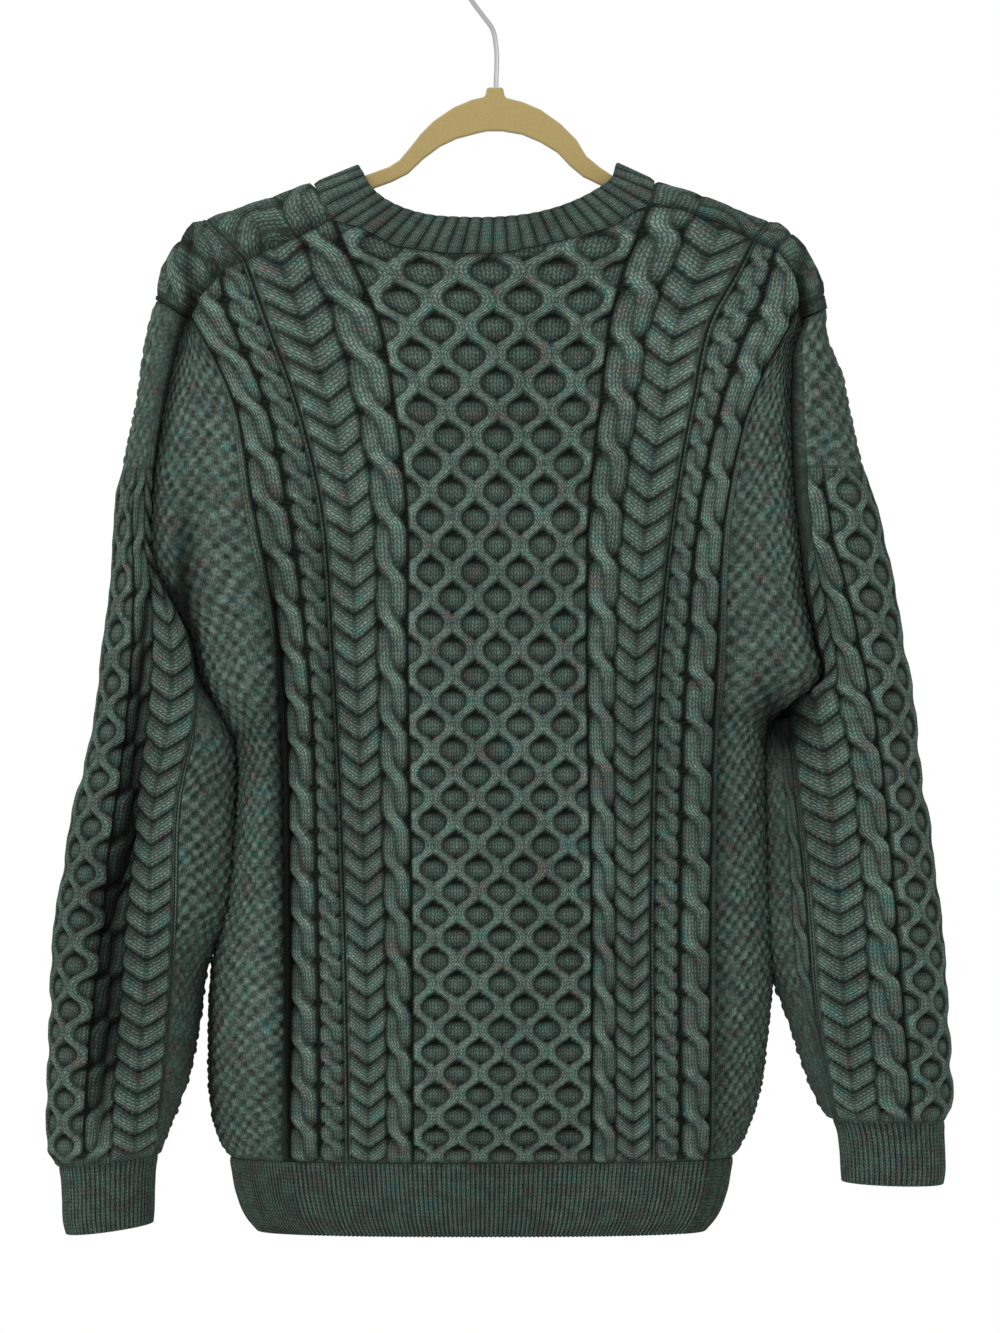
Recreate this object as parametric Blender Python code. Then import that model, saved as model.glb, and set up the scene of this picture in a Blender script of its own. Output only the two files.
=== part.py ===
"""Aran sweater hanging on a clothes hanger. Tables are in millimetres; the scene is in metres.

The wearer's back faces -Y. Left and right are the picture's, seen from -Y. The origin is the inside
of the hook's crown.
"""

import math

import bpy
import numpy as np

MM = 0.001
WALL = 3.0
SEAM = 0.2
BOTTOM = -842.0

# Body edges and half depth by height. The edge is the armhole seam above the underarm.
BODY = {
    "z": [-842, -826, -800, -760, -712, -665, -607, -565, -548, -532, -510, -482, -450, -420,
          -385, -348, -308, -276, -258, -220, -180],
    "left": [-185, -193, -198, -199, -197, -187, -180, -178, -181, -189, -202, -208, -224, -236,
             -236, -232, -225, -218, -213.5, -213.5, -213.5],
    "right": [166, 174, 183, 189, 193, 192, 190, 188, 189, 198, 224, 220, 213, 210,
              206.5, 204.5, 204, 207, 214, 214, 214],
    "depth": [68, 74, 77, 77, 76, 74, 72, 71, 70, 69, 68, 66, 63, 60, 55, 48, 40, 33, 29, 23, 19],
}
NECK_BOW, NECK_BOW_WIDE = 16.0, 75.0
UNDERARM = {-1: -549.0, 1: -536.0}
ARMHOLE_DEPTH = 34.0
ARMHOLE_RISE = 95.0

# Lines of the chart on the body by height.
CHART = {
    "z": [-842, -832, -664, -489, -384, -314, -258, -219, -190, -160],
    "outer_left": [-141, -141, -141, -148, -168, -182, -211, -235, -252, -268],
    "inner_left": [-101, -101, -104, -112, -121, -139, -160, -174, -186, -198],
    "gutter_left": [-56, -56, -57, -60, -61, -70, -81, -99, -112, -124],
    "gutter_right": [66, 66, 66, 63, 65, 73, 80, 91, 103, 115],
    "inner_right": [108, 108, 107, 113, 125, 138, 151, 173, 186, 198],
    "outer_right": [148, 148, 148, 153, 161, 179, 208, 228, 244, 260],
}
LINES = ["outer_left", "inner_left", "gutter_left", "gutter_right", "inner_right", "outer_right"]

# Chart widths of the body, out from the centre line.
HONEYCOMB, TWIST_IN, TWIST_OUT, SIDE = 60.0, 107.0, 147.0, 247.0

# Rows of the chart: the count of cable repeats up to each height.
REPEATS = {"z": [-842, -816, -757, -694, -631, -566, -498, -426, -389, -319, -242, -160],
           "count": [0, 1, 3, 5, 7, 9, 11, 13, 14, 15.86, 17.86, 20]}

# Each cable of the body: its middle and width in the chart, its height, and the repeats by which it
# leads on the left and on the right.
CABLES = {
    "kind": ["rope", "vee", "rope", "rope"],
    "middle": [70.0, 92.0, 117.5, 137.0],
    "width": [18.0, 25.0, 16.0, 19.0],
    "raised": [1.0, 0.85, 0.8, 1.0],
    "speed": [1, 1, 2, 1],
    "left": [0.75, 0.1, 0.25, 0.45],
    "right": [0.5, -0.05, 0.1, 0.35],
}
OUTER_PACE = {-1: 1.075, 1: 1.04}

# Back shoulder seams and back neck edge, from the left corner to the right one.
BACK_TOP = {
    "x": [-213.5, -203, -188, -168, -136, -115, -93, -69, -34, 3, 48, 82, 99, 108, 130, 154, 176,
          197, 208, 214],
    "z": [-258, -240, -223, -214, -200, -189, -195, -208, -213.5, -214, -204, -194, -182, -179,
          -181, -190, -201, -210, -228, -258],
}
# Front neck edge between the two shoulder necks.
FRONT_NECK = {
    "x": [-115, -104, -88, -64, -34, -4, 28, 58, 82, 98, 108],
    "z": [-189, -214, -238, -256, -265, -267, -264, -253, -234, -208, -179],
}
NECK = {-1: -115.0, 1: 108.0}
CORNER = {-1: (-213.5, -258.0), 1: (214.0, -258.0)}

# Ridge of each shoulder from the neck to the armhole.
RIDGE = {
    -1: {"x": [-127, -135, -152, -168, -188, -210, -218, -224, -232, -237],
         "z": [-163, -165, -171.5, -176.5, -183.5, -190.5, -199, -208.5, -221, -244]},
    1: {"x": [112, 127, 148, 164, 177, 198, 206.5, 216, 223, 228, 232],
        "z": [-161, -166.5, -173, -179, -185.5, -191, -197, -207, -220, -231, -250]},
}
RIDGE_DEEP = 55.0

# Sleeves by height: outer and inner edge, half depth, how far the outer edge sits below the inner,
# and the centre and depth of the long fold behind.
SLEEVE = {
    -1: {"z": [-840, -826, -809, -790, -750, -708, -672, -640, -610, -588, -566, -530, -492, -438,
               -402, -358, -314, -285, -258],
         "outer": [-308, -309, -309.5, -309, -307.5, -306, -303, -297, -293, -288, -282, -275, -271,
                   -264, -262, -258, -249, -245, -238.5],
         "inner": [-233.5, -229.5, -223, -216, -207.5, -202, -195, -199, -196, -182.5, -180.5,
                   -182, -183, -183, -183, -183, -183, -183, -183],
         "depth": [37, 42, 46, 49, 52, 55, 57, 58, 58, 58, 57, 55, 53, 49, 46, 42, 37, 32, 27],
         "tilt": [8, 7, 4, 2, 0, 0, 0, 0, 0, 0, 0, 0, 0, 0, 0, 0, 0, 0, 0],
         "fold": [-277, -272, -270, -270, -267, -266, -264, -254, -250, -250, -249, -245, -241,
                  -238, -238, -236, -232, -230, -228],
         "fold_deep": [0, 4, 9, 14, 19, 22, 25, 26, 25, 23, 20, 16, 11, 7, 4, 0, 0, 0, 0]},
    1: {"z": [-815, -801, -784, -745, -704, -672, -640, -610, -588, -566, -545, -520, -492, -438,
              -402, -358, -314, -285, -258],
        "outer": [315, 316, 315.5, 313, 310.5, 307.5, 303, 300, 295.5, 293, 291, 288.5, 283, 274,
                  266, 255, 245.5, 240, 233],
        "inner": [232, 225, 218, 206, 195.5, 193.5, 192.5, 192, 191.5, 190, 190, 192, 192, 192,
                  192, 192, 192, 192, 192],
        "depth": [40, 44, 47, 51, 54, 56, 57, 57, 57, 57, 56, 54, 52, 48, 45, 41, 36, 31, 27],
        "tilt": [2, 2, 1, 0, 0, 0, 0, 0, 0, 0, 0, 0, 0, 0, 0, 0, 0, 0, 0],
        "fold": [262, 256, 250, 240, 232, 226, 220, 214, 210, 208, 206, 204, 202, 200, 200, 200,
                 200, 200, 200],
        "fold_deep": [0, 2, 4, 6, 7, 8, 9, 11, 13, 13, 9, 3, 0, 0, 0, 0, 0, 0, 0]},
}
HEAD_FROM = -300.0
FOLD_WIDE = {-1: 12.0, 1: 14.0}
SLEEVE_CABLES, SLEEVE_END, SLEEVE_PACE = 76.5, 172.0, 1.12

# Lines of the chart on the back of each sleeve by height: the middle of the cells, of the rope and
# of the V pattern, then the twist beside the moss.
SLEEVE_CHART = {
    -1: {"z": [-840, -775, -674, -594, -523, -470, -426],
         "cell": [-298, -297, -287, -276, -265, -260, -255],
         "rope": [-276, -271, -262.5, -253.5, -246, -243, -246],
         "vee": [-252, -246, -238.5, -234, -224, -226, -238],
         "twist": [-237, -229, -222, -219, -207, -216, -235]},
    1: {"z": [-815, -797, -751, -658, -566, -524, -448, -412],
        "cell": [303, 302.5, 299, 290.5, 280, 275, 258.5, 251],
        "rope": [277, 276, 271.5, 264.5, 256, 248.5, 233, 222],
        "vee": [252, 249, 244, 238, 229, 222, 209, 204],
        "twist": [238, 234.5, 225.5, 217, 208, 204, 199, 197]},
}
SLEEVE_LEAD = {-1: {"cell": -0.1, "rope": 0.15, "vee": -0.2}, 1: {"cell": 0.25, "rope": 0.15, "vee": -0.2}}
MOSS_HEAD = -362.0

# Ribbed bands by distance down from their seam: reach out from the seam's line and drop.
HEM = {"down": [0, 8, 26, 44, 51], "in": [0, 1.5, 5, 13, 19]}
CUFF = {
    -1: {"down": [0, 6, 24, 42, 48], "outer": [-305, -303.5, -302, -301, -299.5],
         "inner": [-236, -237.5, -239, -239.5, -240], "depth": [34, 32, 30, 30, 29.5]},
    1: {"down": [0, 6, 22, 38, 44], "outer": [314, 313.5, 314, 314, 313],
        "inner": [236, 239, 242, 243, 243.5], "depth": [36, 33, 31, 31, 30.5]},
}
CUFF_TOP = {-1: -840.0, 1: -815.0}
RIBS = {"hem": 6.4, "cuff": 7.0, "neck": 10.5}

# Neckband's top edge, behind and in front, with its half depth.
NECK_TOP = {
    -1: {"x": [-96.5, -93, -89, -80, -66, -46, -24, 3, 28, 46, 60, 72, 82, 86],
         "y": [0, 8, 12, 17, 22, 27, 30, 31, 30, 27, 23, 18, 11, 0],
         "z": [-150, -156, -164, -173, -181, -187, -189, -189, -186, -181, -175, -168, -160, -149]},
    1: {"x": [-96.5, -94, -88, -76, -58, -32, -4, 24, 48, 66, 78, 83, 86],
        "y": [0, 9, 15, 21, 27, 31, 33, 31, 27, 22, 16, 9, 0],
        "z": [-150, -160, -183, -207, -226, -237, -241, -237, -226, -207, -183, -160, -149]},
}

# Hanger's bar by distance along it: the picture's upper and lower edges, both ends rounded.
HANGER = {
    "top": [(-204, -200), (-199, -196), (-188, -190.5), (-168, -183), (-152, -178), (-130, -170.5),
            (-110, -163), (-92, -157), (-74, -150.5), (-67, -146), (-59, -136.5), (-52, -127.5),
            (-43, -118.5), (-29, -109), (-16, -103.5), (-7, -101.5), (-5.6, -95), (5.6, -95),
            (7, -102), (19, -105), (32, -110.5), (46, -120.5), (57, -131.5), (64, -143),
            (73, -150.5), (84, -158), (104, -164.5), (127, -172), (148, -179), (164, -185.5),
            (177, -192.5), (190, -198.5), (195, -203)],
    "bottom": [(-204, -204), (-199, -207.5), (-188, -203), (-168, -196), (-152, -190), (-130, -182.5),
               (-110, -175), (-87, -166.5), (-72, -161), (-61, -155.5), (-50, -145), (-38.5, -136.5),
               (-27, -131), (-12, -127), (-7, -126), (-5.6, -125.6), (5.6, -125.6), (7, -126),
               (19, -128), (32, -133.5), (43.5, -140.5), (52.5, -150), (61.5, -157.5), (75, -164),
               (84, -167.5), (104, -175), (127, -184), (148, -191), (164, -197.5), (177, -204),
               (190, -209.5), (195, -208)],
    "thick": 6.0,
}
WIRE = 3.5
HOOK_STEM = [(0.7, -94.6), (0.7, -66), (-1.4, -55), (-9, -44), (-17, -33)]
HOOK_CENTRE, HOOK_ROUND = (0.0, -19.6), 21.35


def smooth(at, knots, values):
    """Values of a table's column at these places, through a soft curve."""
    knots = np.asarray(knots, float)
    values = np.asarray(values, float)
    at = np.clip(np.asarray(at, float), knots[0], knots[-1])
    slopes = np.gradient(values, knots)
    i = np.clip(np.searchsorted(knots, at) - 1, 0, len(knots) - 2)
    step = knots[i + 1] - knots[i]
    t = (at - knots[i]) / step
    low = values[i] * (1 + 2 * t) * (1 - t) ** 2 + slopes[i] * step * t * (1 - t) ** 2
    return low + values[i + 1] * t * t * (3 - 2 * t) + slopes[i + 1] * step * t * t * (t - 1)


def along_line(xs, zs, fraction):
    """Points at these fractions of a polyline's length."""
    length = np.concatenate([[0], np.cumsum(np.hypot(np.diff(xs), np.diff(zs)))])
    at = np.clip(fraction, 0, 1) * length[-1]
    return np.interp(at, length, xs), np.interp(at, length, zs)


def ridge_line():
    """The top outline from one armhole to the other, level across the neck."""
    left = np.array([RIDGE[-1]["x"][::-1], RIDGE[-1]["z"][::-1]], float)
    right = np.array([RIDGE[1]["x"], RIDGE[1]["z"]], float)
    middle = np.array([np.linspace(-110, 100, 6), np.full(6, -158.0)])
    corners = np.concatenate([left, middle, right], axis=1)
    fine = along_line(corners[0], corners[1], np.linspace(0, 1, 400))
    return np.stack(fine, axis=-1)


TOP_LINE = ridge_line()


def ridge_round(x, z):
    """0 on the top outline, rising to 1 a hand's breadth below it."""
    flat = np.stack([np.ravel(x), np.ravel(z)], axis=-1)
    apart = np.sqrt(((flat[:, None] - TOP_LINE[None]) ** 2).sum(-1)).min(1)
    near = np.clip(apart / RIDGE_DEEP, 0, 1).reshape(np.shape(x))
    return np.sqrt(1 - (1 - near) ** 2)


def armhole_depth(side, z):
    """Half the armhole's width, front to back, at this height."""
    rise = np.clip((np.asarray(z, float) - UNDERARM[side]) / ARMHOLE_RISE, 0, 1)
    return np.maximum(ARMHOLE_DEPTH * np.sqrt(1 - (1 - rise) ** 2), SEAM)


def body_x(u, z):
    """Where the chart's column at u lies across the body at this height."""
    left, right = (smooth(z, BODY["z"], BODY[k]) for k in ("left", "right"))
    at = [smooth(z, CHART["z"], CHART[line]) for line in LINES]
    at[0] = np.maximum(at[0], left + 1.0)
    at[5] = np.minimum(at[5], right - 1.0)
    knots = [-TWIST_OUT, -TWIST_IN, -HONEYCOMB, HONEYCOMB, TWIST_IN, TWIST_OUT]
    x = np.zeros(np.broadcast(u, z).shape)
    for k in range(5):
        t = (u - knots[k]) / (knots[k + 1] - knots[k])
        x = np.where((t >= 0) & (t <= 1), at[k] + (at[k + 1] - at[k]) * t, x)
    beyond = np.clip((np.abs(u) - TWIST_OUT) / (SIDE - TWIST_OUT), 0, 1)
    across = np.sin(beyond * math.pi / 2)
    x = np.where(u < -TWIST_OUT, at[0] + (left + SEAM - at[0]) * across, x)
    return np.where(u > TWIST_OUT, at[5] + (right - SEAM - at[5]) * across, x)


def body_y(x, z):
    """Half the body's depth at this place, before its folds."""
    left, right, deep = (smooth(z, BODY["z"], BODY[k]) for k in ("left", "right", "depth"))
    middle, half = (left + right) / 2, (right - left) / 2
    share = np.clip(np.abs(x - middle) / half, 0, 1)
    edge = np.where(x < middle, armhole_depth(-1, z), armhole_depth(1, z))
    edge = np.minimum(edge, 0.85 * deep)
    bow = (1 - share**2.6) ** (1 / 2.6)
    neck = NECK_BOW * np.exp(-((x / NECK_BOW_WIDE) ** 2)) * np.clip((z + 330) / 90, 0, 1)
    return (edge + (deep - edge) * bow + neck) * ridge_round(x, z)


def armhole_edge(side, z):
    """Place and half depth of the armhole seam at this height."""
    seam = smooth(z, BODY["z"], BODY["left" if side < 0 else "right"])
    deep = np.minimum(armhole_depth(side, z), 0.85 * smooth(z, BODY["z"], BODY["depth"]))
    return seam, deep * ridge_round(seam, z)


# Soft troughs and ridges of the body, by height: place across, half width and depth, behind or in
# front. A minus depth stands proud.
FOLDS = [
    {"face": -1, "z": [-842, -740, -600, -480, -390], "x": [-143, -141, -145, -150, -163],
     "wide": [13, 14, 15, 14, 12], "deep": [6, 11, 12, 8, 0]},
    {"face": -1, "z": [-842, -740, -600, -480, -390], "x": [-172, -171, -168, -178, -190],
     "wide": [15, 16, 16, 16, 15], "deep": [-3, -5, -6, -4, 0]},
    {"face": -1, "z": [-842, -740, -600, -480, -390], "x": [152, 153, 153, 157, 166],
     "wide": [13, 14, 14, 13, 12], "deep": [3, 5, 6, 4, 0]},
    {"face": -1, "z": [-700, -600, -520, -430, -340], "x": [-104, -108, -112, -120, -134],
     "wide": [12, 14, 15, 14, 12], "deep": [0, 4, 5, 4, 0]},
    {"face": -1, "z": [-760, -640, -540, -420, -330], "x": [110, 110, 112, 121, 133],
     "wide": [12, 14, 15, 14, 12], "deep": [0, 3, 4, 3, 0]},
    {"face": 1, "z": [-842, -720, -600, -480, -400], "x": [-146, -150, -152, -158, -166],
     "wide": [14, 16, 16, 15, 12], "deep": [5, 9, 9, 6, 0]},
    {"face": 1, "z": [-842, -740, -600, -500, -380], "x": [148, 150, 155, 158, 168],
     "wide": [13, 15, 16, 14, 12], "deep": [5, 8, 8, 5, 0]},
    {"face": 1, "z": [-760, -600, -480, -400, -320], "x": [60, 42, 30, 18, 6],
     "wide": [16, 20, 20, 18, 14], "deep": [0, 4, 5, 4, 0]},
]


def fold_depth(x, z, face):
    """How far the folds draw the body in at this place."""
    sink = np.zeros(np.broadcast(x, z).shape)
    for fold in FOLDS:
        if fold["face"] != face:
            continue
        at, wide, deep = (smooth(z, fold["z"], fold[k]) for k in ("x", "wide", "deep"))
        sink += deep * np.exp(-(((x - at) / wide) ** 2))
    return sink


def body_point(u, z, face):
    """A point of the body's surface, with its folds: face is -1 behind and 1 in front."""
    x = body_x(u, z)
    rise = np.clip((z - BOTTOM) / 60, 0, 1)
    sink = fold_depth(x, z, face) * rise * rise * (3 - 2 * rise)
    return np.stack([x, face * np.maximum(body_y(x, z) - sink, SEAM), z + 0 * x], axis=-1)


def top_of(u, edge):
    """Height where the chart's column at u meets a top edge."""
    low, high = np.full(np.shape(u), -330.0), np.full(np.shape(u), -160.0)
    for _ in range(40):
        z = (low + high) / 2
        under = z < np.interp(body_x(u, z), edge["x"], edge["z"])
        low, high = np.where(under, z, low), np.where(under, high, z)
    return low


def strip_point(u, turn):
    """Front panel over the shoulder: turn runs from 1 in front to -1 at the seam behind."""
    z = top_of(u, BACK_TOP)
    x = body_x(u, z)
    out = []
    for side in (-1, 1):
        seam_x = np.array([p for p in BACK_TOP["x"] if p * side >= NECK[side] * side], float)
        seam_z = np.interp(seam_x, BACK_TOP["x"], BACK_TOP["z"])
        order = slice(None, None, side)
        seam_x, seam_z = seam_x[order], seam_z[order]
        length = np.concatenate([[0], np.cumsum(np.hypot(np.diff(seam_x), np.diff(seam_z)))])
        share = np.interp(x * side, seam_x * side, length) / length[-1]
        out.append(along_line(RIDGE[side]["x"], RIDGE[side]["z"], share))
    ridge_x = np.where(x < 0, out[0][0], out[1][0])
    ridge_z = np.where(x < 0, out[0][1], out[1][1])
    reach = turn * turn
    px, pz = ridge_x + (x - ridge_x) * reach, ridge_z + (z - ridge_z) * reach
    seam_y = body_y(x, z)
    return np.stack([px, np.sign(turn) * seam_y * np.sin(np.abs(turn) * math.pi / 2) ** 0.9, pz], -1)


def sleeve_section(side, z):
    """Edges, half depth, start angle and tilt of a sleeve at this height."""
    table = SLEEVE[side]
    outer, inner, deep, tilt = (
        smooth(z, table["z"], table[k]) for k in ("outer", "inner", "depth", "tilt")
    )
    seam, seam_deep = armhole_edge(side, z)
    above = z > UNDERARM[side]
    inner = np.where(above, seam + side * SEAM, inner)
    start = np.clip(np.where(above, seam_deep, SEAM) / deep, 0, 0.97)
    return outer, inner, deep, np.arcsin(start), tilt


def sleeve_point(side, w, z):
    """A sleeve's base surface: w runs from -1 behind, round the outer edge at 0, to 1 in front."""
    outer, inner, deep, start, tilt = sleeve_section(side, z)
    half = (outer - inner) / (1 + np.cos(start))
    angle = math.pi - np.abs(w) * (math.pi - start)
    x = outer - half - half * np.cos(angle)
    y = np.sign(w) * deep * np.sin(angle)
    fold, hollow = (smooth(z, SLEEVE[side]["z"], SLEEVE[side][k]) for k in ("fold", "fold_deep"))
    sink = hollow * np.exp(-(((x - fold) / FOLD_WIDE[side]) ** 2)) * np.clip((1 - np.abs(w)) / 0.12, 0, 1)
    y = np.where(w < 0, y + sink, y - 0.6 * sink)
    z = z - tilt * np.abs(x - inner) / np.abs(outer - inner)
    head = np.clip((z - HEAD_FROM) / (CORNER[side][1] - HEAD_FROM), 0, 1) ** 1.5
    strip = strip_point(side * (SIDE + 0 * w), np.clip(w, -1, 1))
    corner = strip_point(side * (SIDE + 0 * w), 1 + 0 * w)
    seam, seam_deep = armhole_edge(side, z)
    x += head * (seam + strip[..., 0] - corner[..., 0] - x)
    y += head * (strip[..., 1] * seam_deep / corner[..., 1] - y)
    return np.stack([x, y, z + head * (strip[..., 2] - corner[..., 2] - 0.8)], -1)


def sleeve_arc(side, z):
    """Length of half a sleeve's section, from the outer edge to its seam."""
    outer, inner, deep, start, _ = sleeve_section(side, z)
    half = np.abs(outer - inner) / (1 + np.cos(start))
    return (math.pi - start) * (half + deep) / 2


def sleeve_w(side, u, z):
    """The place round a sleeve of its chart's column at u: the back's lines, then on round the front."""
    table = SLEEVE_CHART[side]
    z = np.clip(z, table["z"][0], table["z"][-1])
    outer, inner, deep, start, _ = sleeve_section(side, z)
    half = (outer - inner) / (1 + np.cos(start))
    arc = sleeve_arc(side, z)
    knots, at = [-SLEEVE_END], [-1 + 0 * arc]
    for line, place in (("twist", -SLEEVE_CABLES), ("vee", -61.5), ("rope", -40.0), ("cell", -15.0)):
        x = smooth(z, table["z"], table[line])
        angle = np.arccos(np.clip((outer - half - x) / half, -1, 1))
        knots.append(place)
        at.append(-(math.pi - angle) / (math.pi - start))
    for k in range(1, 5):
        at[k] = np.maximum(at[k], at[k - 1] + (0.07 if k == 1 else 0.03))
    front = np.minimum(at[-1] + (SLEEVE_CABLES + 15) * SLEEVE_PACE / arc, 0.93)
    knots += [SLEEVE_CABLES, SLEEVE_END]
    at += [front, 1 + 0 * arc]
    w = at[0] + 0 * u
    for k in range(len(knots) - 1):
        t = (u - knots[k]) / (knots[k + 1] - knots[k])
        w = np.where((t >= 0) & (t <= 1), at[k] + (at[k + 1] - at[k]) * t, w)
    return w


def repeat_at(z):
    return np.interp(z, REPEATS["z"], REPEATS["count"])


def row_z(row, first, bottom):
    """Height of a row: rows are quarter repeats, the lowest of them drawn down to the bottom."""
    z = np.interp((row + first) / 4, REPEATS["count"], REPEATS["z"])
    low = np.interp(first / 4, REPEATS["count"], REPEATS["z"])
    return z - (low - bottom) * np.clip(1 - row, 0, 1)


def row_at(z, first):
    return 4 * repeat_at(z) - first


def rope(s, width, turns):
    """Height of a two-ply rope: s across it from its middle, one crossing a turn."""
    swing = width * 0.245 * np.tanh(1.8 * np.cos(math.pi * turns))
    over = np.sin(math.pi * turns)
    first = np.sqrt(np.clip(1 - ((s - swing) / (width * 0.27)) ** 2, 0, 1))
    second = np.sqrt(np.clip(1 - ((s + swing) / (width * 0.27)) ** 2, 0, 1))
    return np.maximum(first * (0.85 + 0.4 * over), second * (0.85 - 0.4 * over))


def honeycomb(s, turns, cell):
    """Height of strands that part and meet round cells: s from the middle of the panel."""
    place = s / (cell / 2) - 0.5
    height = np.zeros(np.broadcast(s, turns).shape)
    for offset in (-1, 0, 1):
        strand = np.round(place) + offset
        sway = np.where(np.mod(strand, 2) < 0.5, 1.0, -1.0) * np.cos(2 * math.pi * turns)
        middle = (strand + 0.5) * cell / 2 + 0.75 * cell / 4 * np.tanh(1.6 * sway)
        cord = np.sqrt(np.clip(1 - ((s - middle) / (cell * 0.125)) ** 2, 0, 1))
        height = np.maximum(height, cord)
    return height


def chevron(s, width, turns):
    """Height of nested Vs that point down, two to a repeat."""
    phase = np.mod(2 * turns - np.abs(s) / width, 1)
    arm = np.sqrt(np.clip(1 - ((phase - 0.5) / 0.44) ** 2, 0, 1))
    middle = 1 - 0.45 * np.exp(-((s / 1.6) ** 2))
    return np.where(np.abs(s) < width / 2, arm * middle, 0)


CABLE = 4.6


def body_relief(u, z):
    """Raised height of the body's chart."""
    turns = repeat_at(z)
    s = np.abs(u)
    right = u > 0
    height = np.where(s < HONEYCOMB, honeycomb(u, turns + 0.75, 30), 0)
    for k, middle in enumerate(CABLES["middle"]):
        pace = np.where(right, OUTER_PACE[1], OUTER_PACE[-1]) if middle > TWIST_IN else 1.0
        phase = CABLES["speed"][k] * turns * pace + np.where(right, CABLES["right"][k], CABLES["left"][k])
        width = CABLES["width"][k]
        if CABLES["kind"][k] == "rope":
            cable = rope(u - np.where(right, middle, -middle), width, phase)
            cable = np.where(np.abs(s - middle) < width / 2 + 1, cable, 0)
        else:
            cable = chevron(s - middle, width, phase)
        height = np.maximum(height, CABLES["raised"][k] * cable)
    return CABLE * height


def sleeve_relief(side, u, z):
    """Raised height of a sleeve's chart, below the plain head."""
    turns = repeat_at(z)
    s = np.abs(u)
    lead = SLEEVE_LEAD[side]
    height = np.where(s < 30, honeycomb(u, turns + lead["cell"], 30), 0)
    inner = u - np.where(u > 0, 40.0, -40.0)
    height = np.maximum(height, np.where(np.abs(inner) < 10, rope(inner, 18, turns + lead["rope"]), 0))
    height = np.maximum(height, 0.85 * chevron(s - 61.5, 25, turns + lead["vee"]))
    pace = sleeve_arc(side, z) * (sleeve_w(side, u + 1, z) - sleeve_w(side, u - 1, z)) / 2
    height *= np.clip(pace / 0.35 - 1, 0, 1)
    return CABLE * height * np.clip((MOSS_HEAD - z) / 12, 0, 1)


def zip_columns(low, high, left, right):
    """Triangles between two columns of row numbers, facing the way that makes the mesh point out."""
    a = [r for r in left[1] if low <= r <= high]
    b = [r for r in right[1] if low <= r <= high]
    i = j = 0
    out = []
    while i < len(a) - 1 or j < len(b) - 1:
        up_left = i < len(a) - 1 and (j == len(b) - 1 or a[i + 1] + a[i] <= b[j + 1] + b[j])
        here = (left[0], a[i]), (right[0], b[j])
        if up_left:
            out.append((here[0], here[1], (left[0], a[i + 1])))
            i += 1
        else:
            out.append((here[0], here[1], (right[0], b[j + 1])))
            j += 1
    return out


def border(triangles):
    """Each border point's next one round the sheet."""
    edges = set()
    for t in triangles:
        edges |= {(t[0], t[1]), (t[1], t[2]), (t[2], t[0])}
    return {a: b for a, b in edges if (b, a) not in edges}


def sheet_faces(columns, limits):
    """Triangles of a sheet: columns lists (number, rows) and limits gives rows between two columns."""
    out = []
    for left, right in zip(columns, columns[1:]):
        low, high = limits(left[0], right[0])
        out += zip_columns(low, high, left, right)
    return out


def rim_faces(outer, inner):
    """Triangles that join the border of an outer sheet to that of its coarser inner one."""
    out = []
    step_out, step_in = border(outer), border(inner)
    for start, end in step_in.items():
        here = start
        while here != end:
            following = step_out[here]
            out.append((("o", following), ("o", here), ("i", start)))
            here = following
        out.append((("o", end), ("i", start), ("i", end)))
    return out


def make_shell(name, outer, inner, place, lift, flip, material, wall=WALL):
    """A closed wall from an outer and an inner sheet. place gives base points for lists of keys."""
    faces = [tuple(("o", k) for k in t) for t in outer]
    faces += [tuple(("i", k) for k in t[::-1]) for t in inner]
    faces += rim_faces(outer, inner)
    keys = sorted({k for t in faces for k in t})
    number = {k: i for i, k in enumerate(keys)}
    col = np.array([k[1][0] for k in keys], float)
    row = np.array([k[1][1] for k in keys], float)
    base, normal = place(col, row)
    outside = np.array([k[0] == "o" for k in keys])
    move = np.where(outside, lift(col, row), -wall)
    points = base + normal * move[:, None]
    faces = [[number[k] for k in t] for t in faces]
    if flip:
        faces = [t[::-1] for t in faces]
    add_mesh(name, points, faces, material)


def add_mesh(name, points, faces, material):
    mesh = bpy.data.meshes.new(name)
    mesh.from_pydata([tuple(float(c) * MM for c in p) for p in points], [], faces)
    mesh.materials.append(material)
    obj = bpy.data.objects.new(name, mesh)
    OBJECTS.objects.link(obj)
    return obj


def normals_of(point, col, row, step_col, step_row, outward):
    """Unit normals of a base surface, turned the way that outward points."""
    across = point(col + step_col, row) - point(col - step_col, row)
    up = point(col, row + step_row) - point(col, row - step_row)
    normal = np.cross(across, up)
    normal /= np.maximum(np.linalg.norm(normal, axis=-1, keepdims=True), 1e-9)
    return normal * outward


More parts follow.
